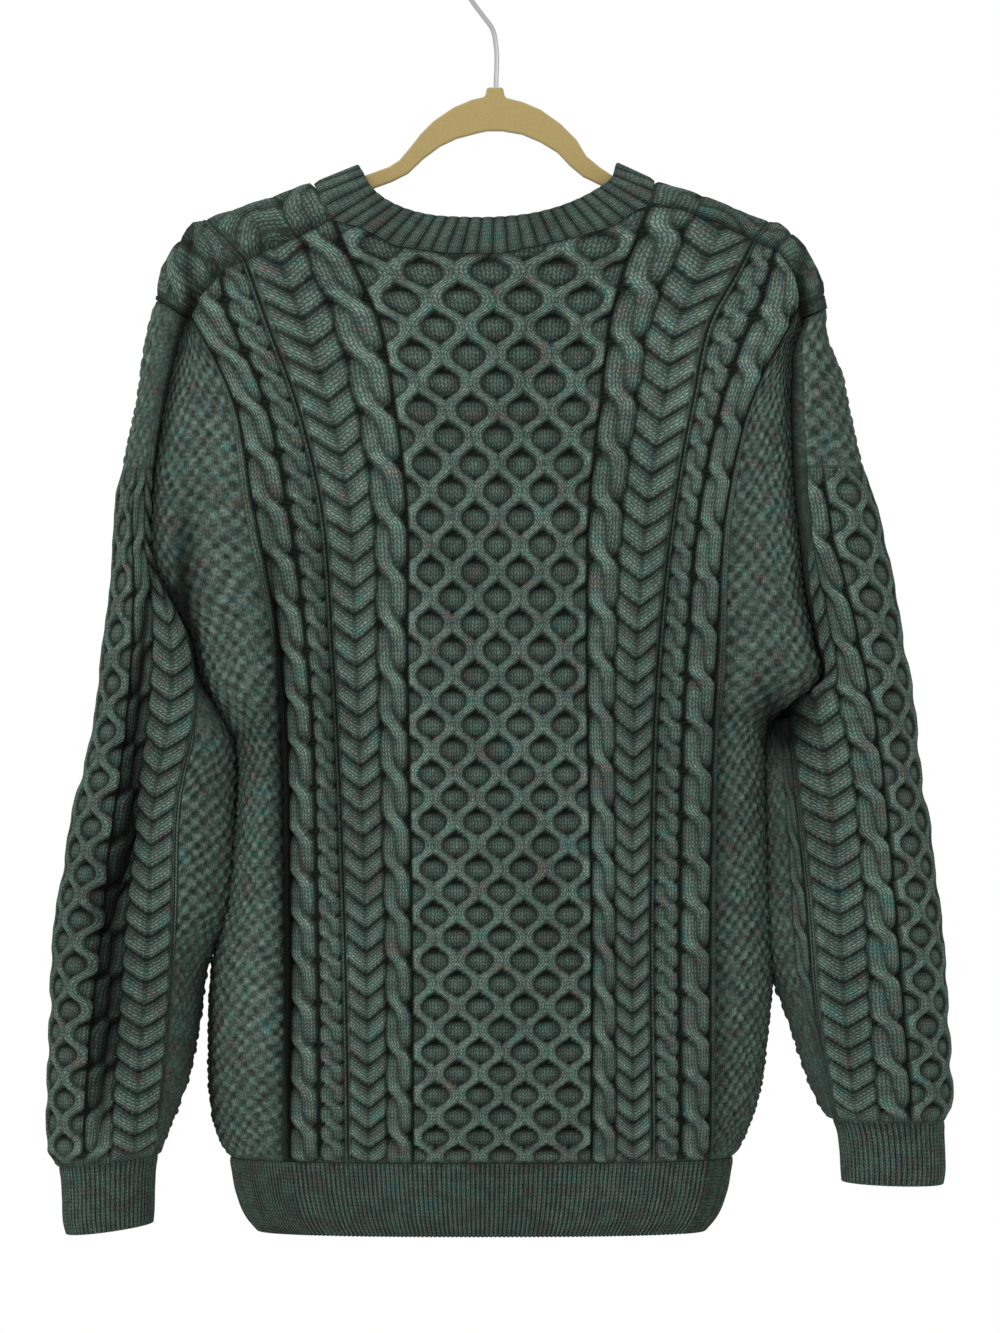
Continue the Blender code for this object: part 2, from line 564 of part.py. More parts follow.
def body_place(us, face):
    """place() of a body panel whose columns are these us."""
    us = np.asarray(us, float)

    def point(col, row):
        u = np.interp(col, np.arange(len(us)), us)
        shoulder = (u <= NECK_U[-1]) | (u >= NECK_U[1])
        top = top_of(u, BACK_TOP)
        if face > 0:
            top = np.where(shoulder, top, top_of(u, FRONT_NECK))
        z = np.minimum(row_z(row, 0, BOTTOM), top - SEAM)
        z = np.where(row >= LAST - 0.5, top - SEAM - (LAST - row) * 2, z)
        out = body_point(u, z, face)
        if face > 0:
            turn = np.clip(1 - (row - LAST) / 2, -0.985, 1)
            over = (row > LAST) & shoulder
            out = np.where(over[..., None], strip_point(u, turn), out)
        return out

    def place(col, row):
        inside = np.clip(col, 0.05, len(us) - 1.05)
        high = LAST + 4 if face > 0 else LAST
        middle = np.where(row > LAST, np.clip(row, LAST + 0.3, high - 0.3), row)
        z_row = np.where(row >= LAST, LAST - 0.3, np.maximum(row, 0.05))
        middle = np.where(row > LAST, middle, z_row)
        return point(col, row), normals_of(point, inside, middle, 0.04, 0.04, -face)

    return place


LAST = 100


def neck_column(side):
    """The chart's column that ends where the shoulder seam meets the neck."""
    low, high = 0.0, SIDE
    for _ in range(40):
        u = np.array([side * (low + high) / 2])
        x = body_x(u, top_of(u, BACK_TOP))[0]
        if x * side < NECK[side] * side:
            low = (low + high) / 2
        else:
            high = (low + high) / 2
    return side * (low + high) / 2


NECK_U = {side: neck_column(side) for side in (-1, 1)}


def clear_scene():
    for obj in list(bpy.data.objects):
        bpy.data.objects.remove(obj, do_unlink=True)


def cloth_material(name, colour, rough, sheen):
    material = bpy.data.materials.new(name)
    material.use_nodes = True
    shader = material.node_tree.nodes["Principled BSDF"]
    shader.inputs["Base Color"].default_value = (*colour, 1)
    shader.inputs["Roughness"].default_value = rough
    shader.inputs["Sheen Weight"].default_value = sheen
    return material


def rows_below(top_row, pace, extra=()):
    """Row numbers of one column: (step, first) up to its top, then the top and any rows past it."""
    step, first = pace
    rows = sorted({0, *range(first, int(top_row - 0.4) + 1, step)})
    return rows + [LAST, *extra]


def body_sheet(us, paces, face, strip_rows):
    """Columns of a body panel. paces gives each column's rows."""
    us = np.asarray(us, float)
    tops = top_of(us, BACK_TOP)
    shoulder = (us <= NECK_U[-1]) | (us >= NECK_U[1])
    if face > 0:
        tops = np.where(shoulder, tops, top_of(us, FRONT_NECK))
    columns = []
    for i, pace in enumerate(paces):
        if pace:
            over = [LAST + r for r in strip_rows] if face > 0 and shoulder[i] else []
            columns.append((i, rows_below(row_at(tops[i], 0), pace, over)))

    def limits(left, right):
        return 0, (LAST + 4 if face > 0 and shoulder[left] and shoulder[right] else LAST)

    return sheet_faces(columns, limits)


# Columns of half a body panel: place in the chart, rows of the outer sheet, rows of the inner one.
EVEN, ODD, EACH, SLOW, PLAIN, FEW = (2, 0), (2, 1), (1, 0), (4, 0), (8, 0), (16, 0)
BODY_COLUMNS = [
    (0, EVEN, PLAIN), (7.5, ODD, FEW), (15, EVEN, FEW), (22.5, ODD, FEW), (30, EVEN, PLAIN),
    (37.5, ODD, FEW), (45, EVEN, FEW), (52.5, ODD, FEW), (58.5, EVEN, FEW),
    ("neck", SLOW, PLAIN), (65.5, EVEN, None), (70, EVEN, None), (74.5, EVEN, None),
    (80, EACH, None), (92, EACH, None), (104, EACH, None), (107, SLOW, PLAIN),
    (113, EVEN, None), (117.5, EVEN, None), (122, EVEN, None), (127, SLOW, None),
    (133, EVEN, None), (141, EVEN, None), (147, SLOW, PLAIN), (171, SLOW, PLAIN), (202, SLOW, PLAIN),
    (234, SLOW, SLOW), (SIDE, SLOW, SLOW),
]


def both_halves(column):
    return column[:0:-1] + column


def body_columns():
    """The chart's columns from left to right."""
    left = [NECK_U[-1] if c[0] == "neck" else -c[0] for c in BODY_COLUMNS[:0:-1]]
    return left + [NECK_U[1] if c[0] == "neck" else c[0] for c in BODY_COLUMNS]


def body_panel(name, face, material):
    us = body_columns()
    outer = body_sheet(us, both_halves([c[1] for c in BODY_COLUMNS]), face, [1, 2, 3, 4])
    inner = body_sheet(us, both_halves([c[2] for c in BODY_COLUMNS]), face, [1, 2, 3, 4])
    table = np.array(us, float)

    def lift(col, row):
        u = table[col.astype(int)]
        z = np.where(row < LAST, row_z(row, 0, BOTTOM), top_of(u, BACK_TOP) + (row - LAST) * 8)
        neck = (u > NECK_U[-1]) & (u < NECK_U[1])
        if face > 0:
            top = np.where(neck, top_of(u, FRONT_NECK), 0)
            fade = np.clip((top - z) / 14, 0, 1) * np.where(neck & (row >= LAST), 0, 1)
            fade = np.where((row >= LAST + 4) | (row < 0.5), 0, fade)
            beside = np.minimum(np.abs(u - NECK_U[-1]), np.abs(u - NECK_U[1]))
            fade *= np.where(row >= LAST, np.clip(beside / 6, 0, 1), 1)
        else:
            fade = np.where((row >= LAST) | (row < 0.5), 0, 1)
        return body_relief(u, z) * fade

    make_shell(name, outer, inner, body_place(us, face), lift, face > 0, material)


SLEEVE_COLUMNS = [
    (0, EVEN, PLAIN), (7.5, ODD, None), (15, EVEN, None), (22.5, ODD, None), (29.5, EVEN, None),
    (36, EVEN, PLAIN), (44, EVEN, None), (49.5, EACH, None), (61.5, EACH, PLAIN), (73, EACH, None),
    (SLEEVE_CABLES, SLOW, PLAIN), (106, SLOW, PLAIN), (144, SLOW, SLOW),
    (SLEEVE_END, SLOW, SLOW),
]


def sleeve_panel(name, side, material):
    half = [c[0] for c in SLEEVE_COLUMNS]
    us = np.array([-v for v in half[:0:-1]] + half, float)
    bottom, top = CUFF_TOP[side], CORNER[side][1]
    first = 4 * math.ceil(repeat_at(bottom) - 0.01)

    def sheet(which):
        columns = [
            (i, rows_below(row_at(top - 2, first), pace))
            for i, pace in enumerate(both_halves([c[which] for c in SLEEVE_COLUMNS]))
            if pace
        ]
        return sheet_faces(columns, lambda left, right: (0, LAST))

    def point(col, row):
        u = np.interp(col, np.arange(len(us)), us)
        z = np.where(row > LAST - 2, top - 0.5 - (LAST - row) * 4, row_z(row, first, bottom))
        return sleeve_point(side, sleeve_w(side, u, z), z)

    def place(col, row):
        inside = np.clip(col, 0.05, len(us) - 1.05)
        middle = np.where(row >= LAST, LAST - 0.1, np.maximum(row, 0.05))
        return point(col, row), normals_of(point, inside, middle, 0.04, 0.04, side)

    def lift(col, row):
        u = us[col.astype(int)]
        height = sleeve_relief(side, u, row_z(np.minimum(row, 80), first, bottom))
        return np.where((row < 0.5) | (row >= LAST), 0, height)

    make_shell(name, sheet(1), sheet(2), place, lift, side < 0, material)


def body_normal(points):
    """The body surface's direction at these places, so that the neckband's seam is mitred."""
    x, z = points[..., 0], points[..., 2]
    slope_x = (body_y(x + 1, z) - body_y(x - 1, z)) / 2
    slope_z = (body_y(x, z + 0.5) - body_y(x, z - 0.5)) / 1
    face = np.sign(points[..., 1])
    normal = np.stack([-slope_x, face, -slope_z], -1)
    return normal / np.linalg.norm(normal, axis=-1, keepdims=True)


def ribbed(name, point, length, rows, flip, outward, material, pitch, deep, sparse, mitred=False):
    """A ribbed band: point(share, row) gives its base, share running along it from 0 to 1."""
    count = 2 * max(4, round(length / pitch))
    columns = [(i, list(range(rows))) for i in range(count + 1)]
    kept = sorted(set(range(0, count + 1, sparse)) | {count})
    coarse = [(i, list(range(rows))) for i in kept]
    outer = sheet_faces(columns, lambda a, b: (0, rows))
    inner = sheet_faces(coarse, lambda a, b: (0, rows))

    def at(col, row):
        return point(col / count, row)

    def place(col, row):
        inside = np.clip(col, 0.6, count - 0.6)
        middle = np.clip(row, 0.05, rows - 1.05)
        points = at(col, row)
        normal = normals_of(at, inside, middle, 0.5, 0.04, outward)
        if mitred:
            low = np.clip(1 - row / 1.5, 0, 1)[:, None]
            normal = low * body_normal(points) + (1 - low) * normal
            normal /= np.linalg.norm(normal, axis=-1, keepdims=True)
        return points, normal

    def lift(col, row):
        return np.where(np.mod(col, 2) > 0.5, deep, 0) * np.where((row < 0.5) & mitred, 0, 1)

    make_shell(name, outer, inner, place, lift, flip, material)


def hem_point(face):
    def point(share, row):
        down = np.interp(row, [0, 1], [HEM["down"][-1], 0.5])
        inset = smooth(down, HEM["down"], HEM["in"])
        u = (share * 2 - 1) * SIDE
        edge = body_point(u, BOTTOM + 0 * u, face)
        middle = (BODY["left"][0] + BODY["right"][0]) / 2
        half = (BODY["right"][0] - BODY["left"][0]) / 2
        deep = BODY["depth"][0]
        x = middle + (edge[..., 0] - middle) * (half - inset) / half
        y = face * np.maximum(np.abs(edge[..., 1]) * (deep - 0.7 * inset) / deep, SEAM)
        return np.stack([x, y, BOTTOM - down], -1)

    return point


def cuff_point(side):
    table = CUFF[side]

    def point(share, row):
        down = np.interp(row, [0, 1], [table["down"][-1], 0.8])
        outer, inner, deep = (smooth(down, table["down"], table[k]) for k in ("outer", "inner", "depth"))
        w = share * 2 - 1
        half = (outer - inner) / 2
        start = SEAM / deep
        angle = math.pi - np.abs(w) * (math.pi - start)
        x = outer - half - half * np.cos(angle)
        tilt = SLEEVE[side]["tilt"][0]
        z = CUFF_TOP[side] - down - tilt * np.abs(x - inner) / np.abs(outer - inner)
        return np.stack([x, np.sign(w) * deep * np.sin(angle), z], -1)

    return point


def neck_outer(face, share):
    """The neckband's seam from the left ridge to the right one, behind or in front."""
    t = np.array([0, 0.5, 0.98])
    left = strip_point(NECK_U[-1] + 0 * t, face * np.maximum(t, 0.001))
    right = strip_point(NECK_U[1] + 0 * t, face * np.maximum(t[::-1], 0.001))
    u = np.array([v for v in body_columns() if NECK_U[-1] < v < NECK_U[1]])
    middle = body_point(u, top_of(u, BACK_TOP if face < 0 else FRONT_NECK), face)
    line = np.concatenate([left, middle, right])
    length = np.concatenate([[0], np.cumsum(np.linalg.norm(np.diff(line, axis=0), axis=1))])
    return np.stack([np.interp(share * length[-1], length, line[:, k]) for k in range(3)], -1)


def neck_top(face, share):
    table = NECK_TOP[face]
    knots = np.stack([table["x"], np.array(table["y"]) * face, table["z"]], -1).astype(float)
    length = np.concatenate([[0], np.cumsum(np.linalg.norm(np.diff(knots, axis=0), axis=1))])
    return np.stack([smooth(share * length[-1], length, knots[:, k]) for k in range(3)], -1)


def neck_point(share, row):
    """The band's base all round: share 0 to 0.5 behind, then back in front."""
    behind = share < 0.5
    part = np.where(behind, share * 2, 2 - share * 2)
    low = np.where(behind[..., None], neck_outer(-1, part), neck_outer(1, part))
    high = np.where(behind[..., None], neck_top(-1, part), neck_top(1, part))
    v = np.interp(row, [0, 1, 2], [0.03, 0.5, 1.0])[..., None]
    return low + (high - low) * v


def hanger_bar(material):
    """The bar's outline, drawn through its thickness."""
    outline = HANGER["top"] + HANGER["bottom"][::-1]
    half = HANGER["thick"] / 2
    count = len(outline)
    points = [(x, -half, z) for x, z in outline] + [(x, half, z) for x, z in outline]
    top = len(HANGER["top"])
    other = count - 1
    faces = []
    i, j = 0, other
    while i + 1 < j:
        if (i + 1) * (count - top) <= (other - j + 1) * top and i + 1 < top:
            faces.append((i, i + 1, j))
            i += 1
        elif j - 1 >= top:
            faces.append((i, j - 1, j))
            j -= 1
        else:
            faces.append((i, i + 1, j))
            i += 1
    faces += [tuple(k + count for k in t[::-1]) for t in faces]
    for k in range(count):
        n = (k + 1) % count
        faces += [(k, k + count, n + count), (k, n + count, n)]
    add_mesh("hanger", points, [t[::-1] for t in faces], material)


def hook(material):
    """Bent wire: a stem, then most of a circle round the crown."""
    curve = bpy.data.curves.new("hook", "CURVE")
    curve.dimensions = "3D"
    curve.bevel_depth = WIRE / 2 * MM
    curve.bevel_resolution = 1
    curve.use_fill_caps = True
    turns = np.radians(np.arange(205, -26, -14.4))
    ring = [(HOOK_CENTRE[0] + HOOK_ROUND * math.cos(a), HOOK_CENTRE[1] + HOOK_ROUND * math.sin(a))
            for a in turns]
    line = HOOK_STEM + ring
    spline = curve.splines.new("POLY")
    spline.points.add(len(line) - 1)
    for point, (x, z) in zip(spline.points, line):
        point.co = (x * MM, 0, z * MM, 1)
    curve.materials.append(material)
    OBJECTS.objects.link(bpy.data.objects.new("hook", curve))


clear_scene()
OBJECTS = bpy.data.collections.new("aran_sweater")
bpy.context.scene.collection.children.link(OBJECTS)
knit = cloth_material("dark_green_wool", (0.045, 0.065, 0.06), 0.9, 0.3)
flock = cloth_material("tan_flock", (0.42, 0.33, 0.13), 0.8, 0.5)
wire = cloth_material("steel_wire", (0.6, 0.6, 0.6), 0.25, 0.0)
wire.node_tree.nodes["Principled BSDF"].inputs["Metallic"].default_value = 1

body_panel("back", -1, knit)
body_panel("front", 1, knit)
for side, word in ((-1, "left"), (1, "right")):
    sleeve_panel(f"sleeve_{word}", side, knit)
    ribbed(f"cuff_{word}", cuff_point(side), 200, 2, side < 0, side, knit, RIBS["cuff"], 1.2, 4)
ribbed("hem_back", hem_point(-1), 480, 2, False, 1, knit, RIBS["hem"], 1.2, 10)
ribbed("hem_front", hem_point(1), 480, 2, True, -1, knit, RIBS["hem"], 1.2, 10)
ribbed("neckband", lambda share, row: neck_point(0.001 + 0.998 * share, row), 560, 3, False, 1, knit,
       RIBS["neck"], 1.6, 2, True)
hanger_bar(flock)
hook(wire)
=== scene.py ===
"""The aran sweater on its hanger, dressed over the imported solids.

Tables are in millimetres and the scene is in metres. The wearer's back faces -Y, and left and right
are the picture's, seen from -Y. The origin is the inside of the hook's crown.
"""

import math
from functools import partial

import bpy
import numpy as np
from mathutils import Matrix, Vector


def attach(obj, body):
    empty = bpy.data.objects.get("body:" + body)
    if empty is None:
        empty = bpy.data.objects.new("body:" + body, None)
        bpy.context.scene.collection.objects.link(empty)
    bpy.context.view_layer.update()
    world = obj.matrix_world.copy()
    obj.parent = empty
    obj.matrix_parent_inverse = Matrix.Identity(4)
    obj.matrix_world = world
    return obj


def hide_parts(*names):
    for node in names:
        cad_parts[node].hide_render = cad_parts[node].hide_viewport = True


MM = 0.001

# Gap left on each side of a seam, and the body's lower edge.
SEAM = 0.2
BOTTOM = -842.0

# Height of a cable in the solids, how much more it has here, its share on the shoulder strips, and how
# far a strip turns over the shoulder, where 1 is the seam behind.
CABLE = 4.6
RAISE = 1.1
STRIP_RAISE = 0.42
STRIP_END = 1.012

# Body edges and half depth by height. The edge is the armhole seam above the underarm.
BODY = {
    "z": [-842, -826, -800, -760, -712, -665, -607, -565, -548, -532, -510, -482, -450, -420,
          -385, -348, -308, -276, -258, -220, -180],
    "left": [-185, -193, -198, -199, -197, -187, -180, -178, -181, -189, -202, -208, -224, -236,
             -236, -232, -225, -218, -213.5, -213.5, -213.5],
    "right": [166, 174, 183, 189, 193, 192, 190, 188, 189, 198, 224, 220, 213, 210,
              206.5, 204.5, 204, 207, 214, 214, 214],
    "depth": [68, 74, 77, 77, 76, 74, 72, 71, 70, 69, 68, 66, 63, 60, 55, 48, 40, 33, 29, 23, 19],
}
NECK_BOW, NECK_BOW_WIDE = 16.0, 75.0
UNDERARM = {-1: -549.0, 1: -536.0}
ARMHOLE_DEPTH = 34.0
ARMHOLE_RISE = 95.0

# Lines of the chart on the body by height.
CHART = {
    "z": [-842, -832, -664, -489, -384, -314, -258, -219, -190, -160],
    "outer_left": [-141, -141, -141, -148, -168, -182, -211, -235, -252, -268],
    "inner_left": [-101, -101, -104, -112, -121, -139, -160, -174, -186, -198],
    "gutter_left": [-56, -56, -57, -60, -61, -70, -81, -99, -112, -124],
    "gutter_right": [66, 66, 66, 63, 65, 73, 80, 91, 103, 115],
    "inner_right": [108, 108, 107, 113, 125, 138, 151, 173, 186, 198],
    "outer_right": [148, 148, 148, 153, 161, 179, 208, 228, 244, 260],
}
LINES = ["outer_left", "inner_left", "gutter_left", "gutter_right", "inner_right", "outer_right"]

# Chart widths of the body, out from the centre line, and the width of a honeycomb cell.
HONEYCOMB, TWIST_IN, TWIST_OUT, SIDE = 60.0, 107.0, 147.0, 247.0
OUTER_TWIST, MOSS_FROM = 150.5, 153.5
CELL = 30.0

# Rows of the chart: the count of cable repeats up to each height.
REPEATS = {"z": [-842, -816, -757, -694, -631, -566, -498, -426, -389, -319, -242, -160],
           "count": [0, 1, 3, 5, 7, 9, 11, 13, 14, 15.86, 17.86, 20]}

# Each cable of the body: its middle and width in the chart, its height, and the repeats by which it
# leads on the left and on the right.
CABLES = {
    "kind": ["rope", "vee", "rope", "rope"],
    "middle": [70.0, 92.0, 117.5, 137.0],
    "width": [18.0, 25.0, 16.0, 19.0],
    "raised": [1.0, 0.85, 0.8, 1.0],
    "speed": [1, 1, 2, 1],
    "left": [0.75, 0.1, 0.25, 0.45],
    "right": [0.5, -0.05, 0.1, 0.35],
}
OUTER_PACE = {-1: 1.075, 1: 1.04}

# Back shoulder seams and back neck edge, from the left corner to the right one.
BACK_TOP = {
    "x": [-213.5, -203, -188, -168, -136, -115, -93, -69, -34, 3, 48, 82, 99, 108, 130, 154, 176,
          197, 208, 214],
    "z": [-258, -240, -223, -214, -200, -189, -195, -208, -213.5, -214, -204, -194, -182, -179,
          -181, -190, -201, -210, -228, -258],
}
# Front neck edge between the two shoulder necks.
FRONT_NECK = {
    "x": [-115, -104, -88, -64, -34, -4, 28, 58, 82, 98, 108],
    "z": [-189, -214, -238, -256, -265, -267, -264, -253, -234, -208, -179],
}
NECK = {-1: -115.0, 1: 108.0}
CORNER = {-1: (-213.5, -258.0), 1: (214.0, -258.0)}

# Ridge of each shoulder from the neck to the armhole.
RIDGE = {
    -1: {"x": [-127, -135, -152, -168, -188, -210, -218, -224, -232, -237],
         "z": [-163, -165, -171.5, -176.5, -183.5, -190.5, -199, -208.5, -221, -244]},
    1: {"x": [112, 127, 148, 164, 177, 198, 206.5, 216, 223, 228, 232],
        "z": [-161, -166.5, -173, -179, -185.5, -191, -197, -207, -220, -231, -250]},
}
RIDGE_DEEP = 55.0

# Sleeves by height: outer and inner edge, half depth, how far the outer edge sits below the inner,
# and the centre and depth of the long fold behind.
SLEEVE = {
    -1: {"z": [-840, -826, -809, -790, -750, -708, -672, -640, -610, -588, -566, -530, -492, -438,
               -402, -358, -314, -285, -258],
         "outer": [-308, -309, -309.5, -309, -307.5, -306, -303, -297, -293, -288, -282, -275, -271,
                   -264, -262, -258, -249, -245, -238.5],
         "inner": [-233.5, -229.5, -223, -216, -207.5, -201, -184] + [-180] * 4 + [-182] + [-183] * 7,
         "depth": [37, 42, 46, 49, 52, 55, 57, 58, 58, 58, 57, 55, 53, 49, 46, 42, 37, 32, 27],
         "tilt": [8, 7, 4, 2] + [0] * 15,
         "fold": [-277, -272, -270, -270, -267, -266, -264, -254, -250, -250, -249, -245, -241,
                  -238, -238, -236, -232, -230, -228],
         "fold_deep": [0, 4, 9, 14, 19, 22, 25, 26, 25, 23, 20, 16, 11, 7, 4, 0, 0, 0, 0]},
    1: {"z": [-815, -801, -784, -745, -704, -672, -640, -610, -588, -566, -545, -520, -492, -438,
              -402, -358, -314, -285, -258],
        "outer": [315, 316, 315.5, 313, 310.5, 307.5, 303, 300, 295.5, 293, 291, 288.5, 283, 274,
                  266, 255, 245.5, 240, 233],
        "inner": [232, 225, 218, 205, 190] + [187] * 5 + [188, 191] + [192] * 7,
        "depth": [40, 44, 47, 51, 54, 56, 57, 57, 57, 57, 56, 54, 52, 48, 45, 41, 36, 31, 27],
        "tilt": [2, 2, 1] + [0] * 16,
        "fold": [262, 256, 250, 240, 232, 226, 220, 214, 210, 208, 206, 204, 202] + [200] * 6,
        "fold_deep": [0, 2, 4, 6, 7, 8, 9, 11, 13, 13, 9, 3] + [0] * 7},
}
# Height where a sleeve's head begins to turn in, its fold's half width, and the height above which its
# inner edge lies on the body's side, where its seam gets deeper and wider painted shade.
HEAD_FROM = -300.0
FOLD_WIDE = {-1: 12.0, 1: 14.0}
RESTS_FROM = {-1: -692, 1: -706}

# Chart of the sleeves, out from the middle of the cells: their edge, the middles of the rope, the V
# pattern and the twist, where the moss begins and the underarm; then how wide the far columns lie.
SLEEVE_CELLS, SLEEVE_ROPE, SLEEVE_VEE, SLEEVE_TWIST = 30.0, 40.0, 61.5, 76.5
SLEEVE_MOSS, SLEEVE_END = 80.0, 172.0
SLEEVE_PACE = 1.12
# The right sleeve has one more rope on the side that shows, and its moss begins beyond it.
EXTRA_ROPE, EXTRA_MOSS = -89.0, -99.0

# Lines of the chart on the back of each sleeve by height: the middle of the cells, of the rope and
# of the V pattern, then the twist beside the moss.
SLEEVE_CHART = {
    -1: {"z": [-840, -775, -674, -594, -523, -470, -426],
         "cell": [-298, -297, -287, -276, -265, -260, -255],
         "rope": [-276, -271, -262.5, -253.5, -246, -243, -246],
         "vee": [-252, -246, -238.5, -234, -224, -226, -238],
         "twist": [-237, -229, -222, -219, -207, -216, -235]},
    1: {"z": [-815, -797, -751, -658, -566, -524, -448, -412],
        "cell": [303, 302.5, 299, 290.5, 280, 275, 258.5, 251],
        "rope": [277, 276, 271.5, 264.5, 256, 248.5, 233, 222],
        "vee": [252, 249, 244, 238, 229, 222, 209, 204],
        "twist": [238, 234.5, 225.5, 217, 208, 204, 199, 197]},
}
SLEEVE_LEAD = {-1: {"cell": -0.1, "rope": 0.15, "vee": -0.2},
               1: {"cell": 0.25, "rope": 0.15, "vee": -0.2}}
MOSS_HEAD = -362.0

# Ribbed bands by distance down from their seam: reach out from the seam's line and drop.
HEM = {"down": [0, 8, 26, 44, 51], "in": [0, 1.5, 5, 13, 19]}
CUFF = {
    -1: {"down": [0, 6, 24, 42, 48], "outer": [-305, -303.5, -302, -301, -299.5],
         "inner": [-236, -237.5, -239, -239.5, -240], "depth": [34, 32, 30, 30, 29.5]},
    1: {"down": [0, 6, 22, 38, 44], "outer": [314, 313.5, 314, 314, 313],
        "inner": [236, 239, 242, 243, 243.5], "depth": [36, 33, 31, 31, 30.5]},
}
CUFF_TOP = {-1: -840.0, 1: -815.0}

# Ribbing of the bands: ribs and points round, the height of a rib, and the knitted length and height.
BANDS = {
    "hem": {"ribs": 150, "columns": 901, "deep": 1.2, "length": 480, "tall": 51},
    "cuff": {"ribs": 58, "columns": 465, "deep": 1.2, "length": 205, "tall": 46},
    "neck": {"ribs": 56, "columns": 673, "deep": 1.6, "length": 560, "tall": 27},
}
BAND_ROWS = 30
# Radius of the rolled free edge, and how far it runs back inside.
ROLL, ROLL_BACK = 1.5, (4, 9, 14)

# Neckband's top edge, behind and in front, with its half depth.
NECK_TOP = {
    -1: {"x": [-96.5, -93, -89, -80, -66, -46, -24, 3, 28, 46, 60, 72, 82, 86],
         "y": [0, 8, 12, 17, 22, 27, 30, 31, 30, 27, 23, 18, 11, 0],
         "z": [-150, -156, -164, -173, -181, -187, -189, -189, -186, -181, -175, -168, -160, -149]},
    1: {"x": [-96.5, -94, -88, -76, -58, -32, -4, 24, 48, 66, 78, 83, 86],
        "y": [0, 9, 15, 21, 27, 31, 33, 31, 27, 22, 16, 9, 0],
        "z": [-150, -160, -183, -207, -226, -237, -241, -237, -226, -207, -183, -160, -149]},
}

# Hanger's bar by distance along it: the picture's upper and lower edges, both ends rounded.
HANGER = {
    "top": [(-204, -200), (-199, -196), (-188, -190.5), (-168, -183), (-152, -178), (-130, -170.5),
            (-110, -163), (-92, -157), (-74, -150.5), (-67, -146), (-59, -136.5), (-52, -127.5),
            (-43, -118.5), (-29, -109), (-16, -103.5), (-7, -101.5), (-5.6, -95), (5.6, -95),
            (7, -102), (19, -105), (32, -110.5), (46, -120.5), (57, -131.5), (64, -143),
            (73, -150.5), (84, -158), (104, -164.5), (127, -172), (148, -179), (164, -185.5),
            (177, -192.5), (190, -198.5), (195, -203)],
    "bottom": [(-204, -204), (-199, -207.5), (-188, -203), (-168, -196), (-152, -190), (-130, -182.5),
               (-110, -175), (-87, -166.5), (-72, -161), (-61, -155.5), (-50, -145), (-38.5, -136.5),
               (-27, -131), (-12, -127), (-7, -126), (-5.6, -125.6), (5.6, -125.6), (7, -126),
               (19, -128), (32, -133.5), (43.5, -140.5), (52.5, -150), (61.5, -157.5), (75, -164),
               (84, -167.5), (104, -175), (127, -184), (148, -191), (164, -197.5), (177, -204),
               (190, -209.5), (195, -208)],
    "thick": 6.0,
}
WIRE = 3.5
HOOK_STEM = [(0.7, -94.6), (0.7, -66), (-1.4, -55), (-9, -44), (-17, -33)]
HOOK_CENTRE, HOOK_ROUND = (0.0, -19.6), 21.35


def smooth(at, knots, values):
    """Values of a table's column at these places, through a soft curve."""
    knots = np.asarray(knots, float)
    values = np.asarray(values, float)
    at = np.clip(np.asarray(at, float), knots[0], knots[-1])
    slopes = np.gradient(values, knots)
    i = np.clip(np.searchsorted(knots, at) - 1, 0, len(knots) - 2)
    step = knots[i + 1] - knots[i]
    t = (at - knots[i]) / step
    low = values[i] * (1 + 2 * t) * (1 - t) ** 2 + slopes[i] * step * t * (1 - t) ** 2
    return low + values[i + 1] * t * t * (3 - 2 * t) + slopes[i + 1] * step * t * t * (t - 1)


def unit(value):
    """The value held between 0 and 1."""
    return np.clip(value, 0, 1)


def read(table, z, *names):
    """These columns of a table at the heights z."""
    return [smooth(z, table["z"], table[name]) for name in names]


def bell(away, wide):
    """A soft bell curve: 1 in the middle and 0.37 at the distance wide from it."""
    return np.exp(-((away / wide) ** 2))


def run_of(steps):
    """Distance along a line at each of its points, from the lengths of its steps."""
    return np.concatenate([[0], np.cumsum(steps)])


def spread(u, knots, at, value):
    """Straight from one knot's value to the next; the value given stays beyond the knots."""
    for k in range(len(knots) - 1):
        t = (u - knots[k]) / (knots[k + 1] - knots[k])
        value = np.where((t >= 0) & (t <= 1), at[k] + (at[k + 1] - at[k]) * t, value)
    return value


def along_line(xs, zs, fraction):
    """Points at these fractions of a polyline's length."""
    length = run_of(np.hypot(np.diff(xs), np.diff(zs)))
    at = unit(fraction) * length[-1]
    return np.interp(at, length, xs), np.interp(at, length, zs)


def ridge_line():
    """The top outline from one armhole to the other, level across the neck."""
    left = np.array([RIDGE[-1]["x"][::-1], RIDGE[-1]["z"][::-1]], float)
    right = np.array([RIDGE[1]["x"], RIDGE[1]["z"]], float)
    middle = np.array([np.linspace(-110, 100, 6), np.full(6, -158.0)])
    corners = np.concatenate([left, middle, right], axis=1)
    fine = along_line(corners[0], corners[1], np.linspace(0, 1, 400))
    return np.stack(fine, axis=-1)


TOP_LINE = ridge_line()


def ridge_round(x, z):
    """0 on the top outline, rising to 1 a hand's breadth below it."""
    flat = np.stack([np.ravel(x), np.ravel(z)], axis=-1)
    apart = np.sqrt(((flat[:, None] - TOP_LINE[None]) ** 2).sum(-1)).min(1)
    near = unit(apart / RIDGE_DEEP).reshape(np.shape(x))
    return np.sqrt(1 - (1 - near) ** 2)


def armhole_depth(side, z):
    """Half the armhole's width, front to back, at this height."""
    rise = unit((np.asarray(z, float) - UNDERARM[side]) / ARMHOLE_RISE)
    return np.maximum(ARMHOLE_DEPTH * np.sqrt(1 - (1 - rise) ** 2), SEAM)


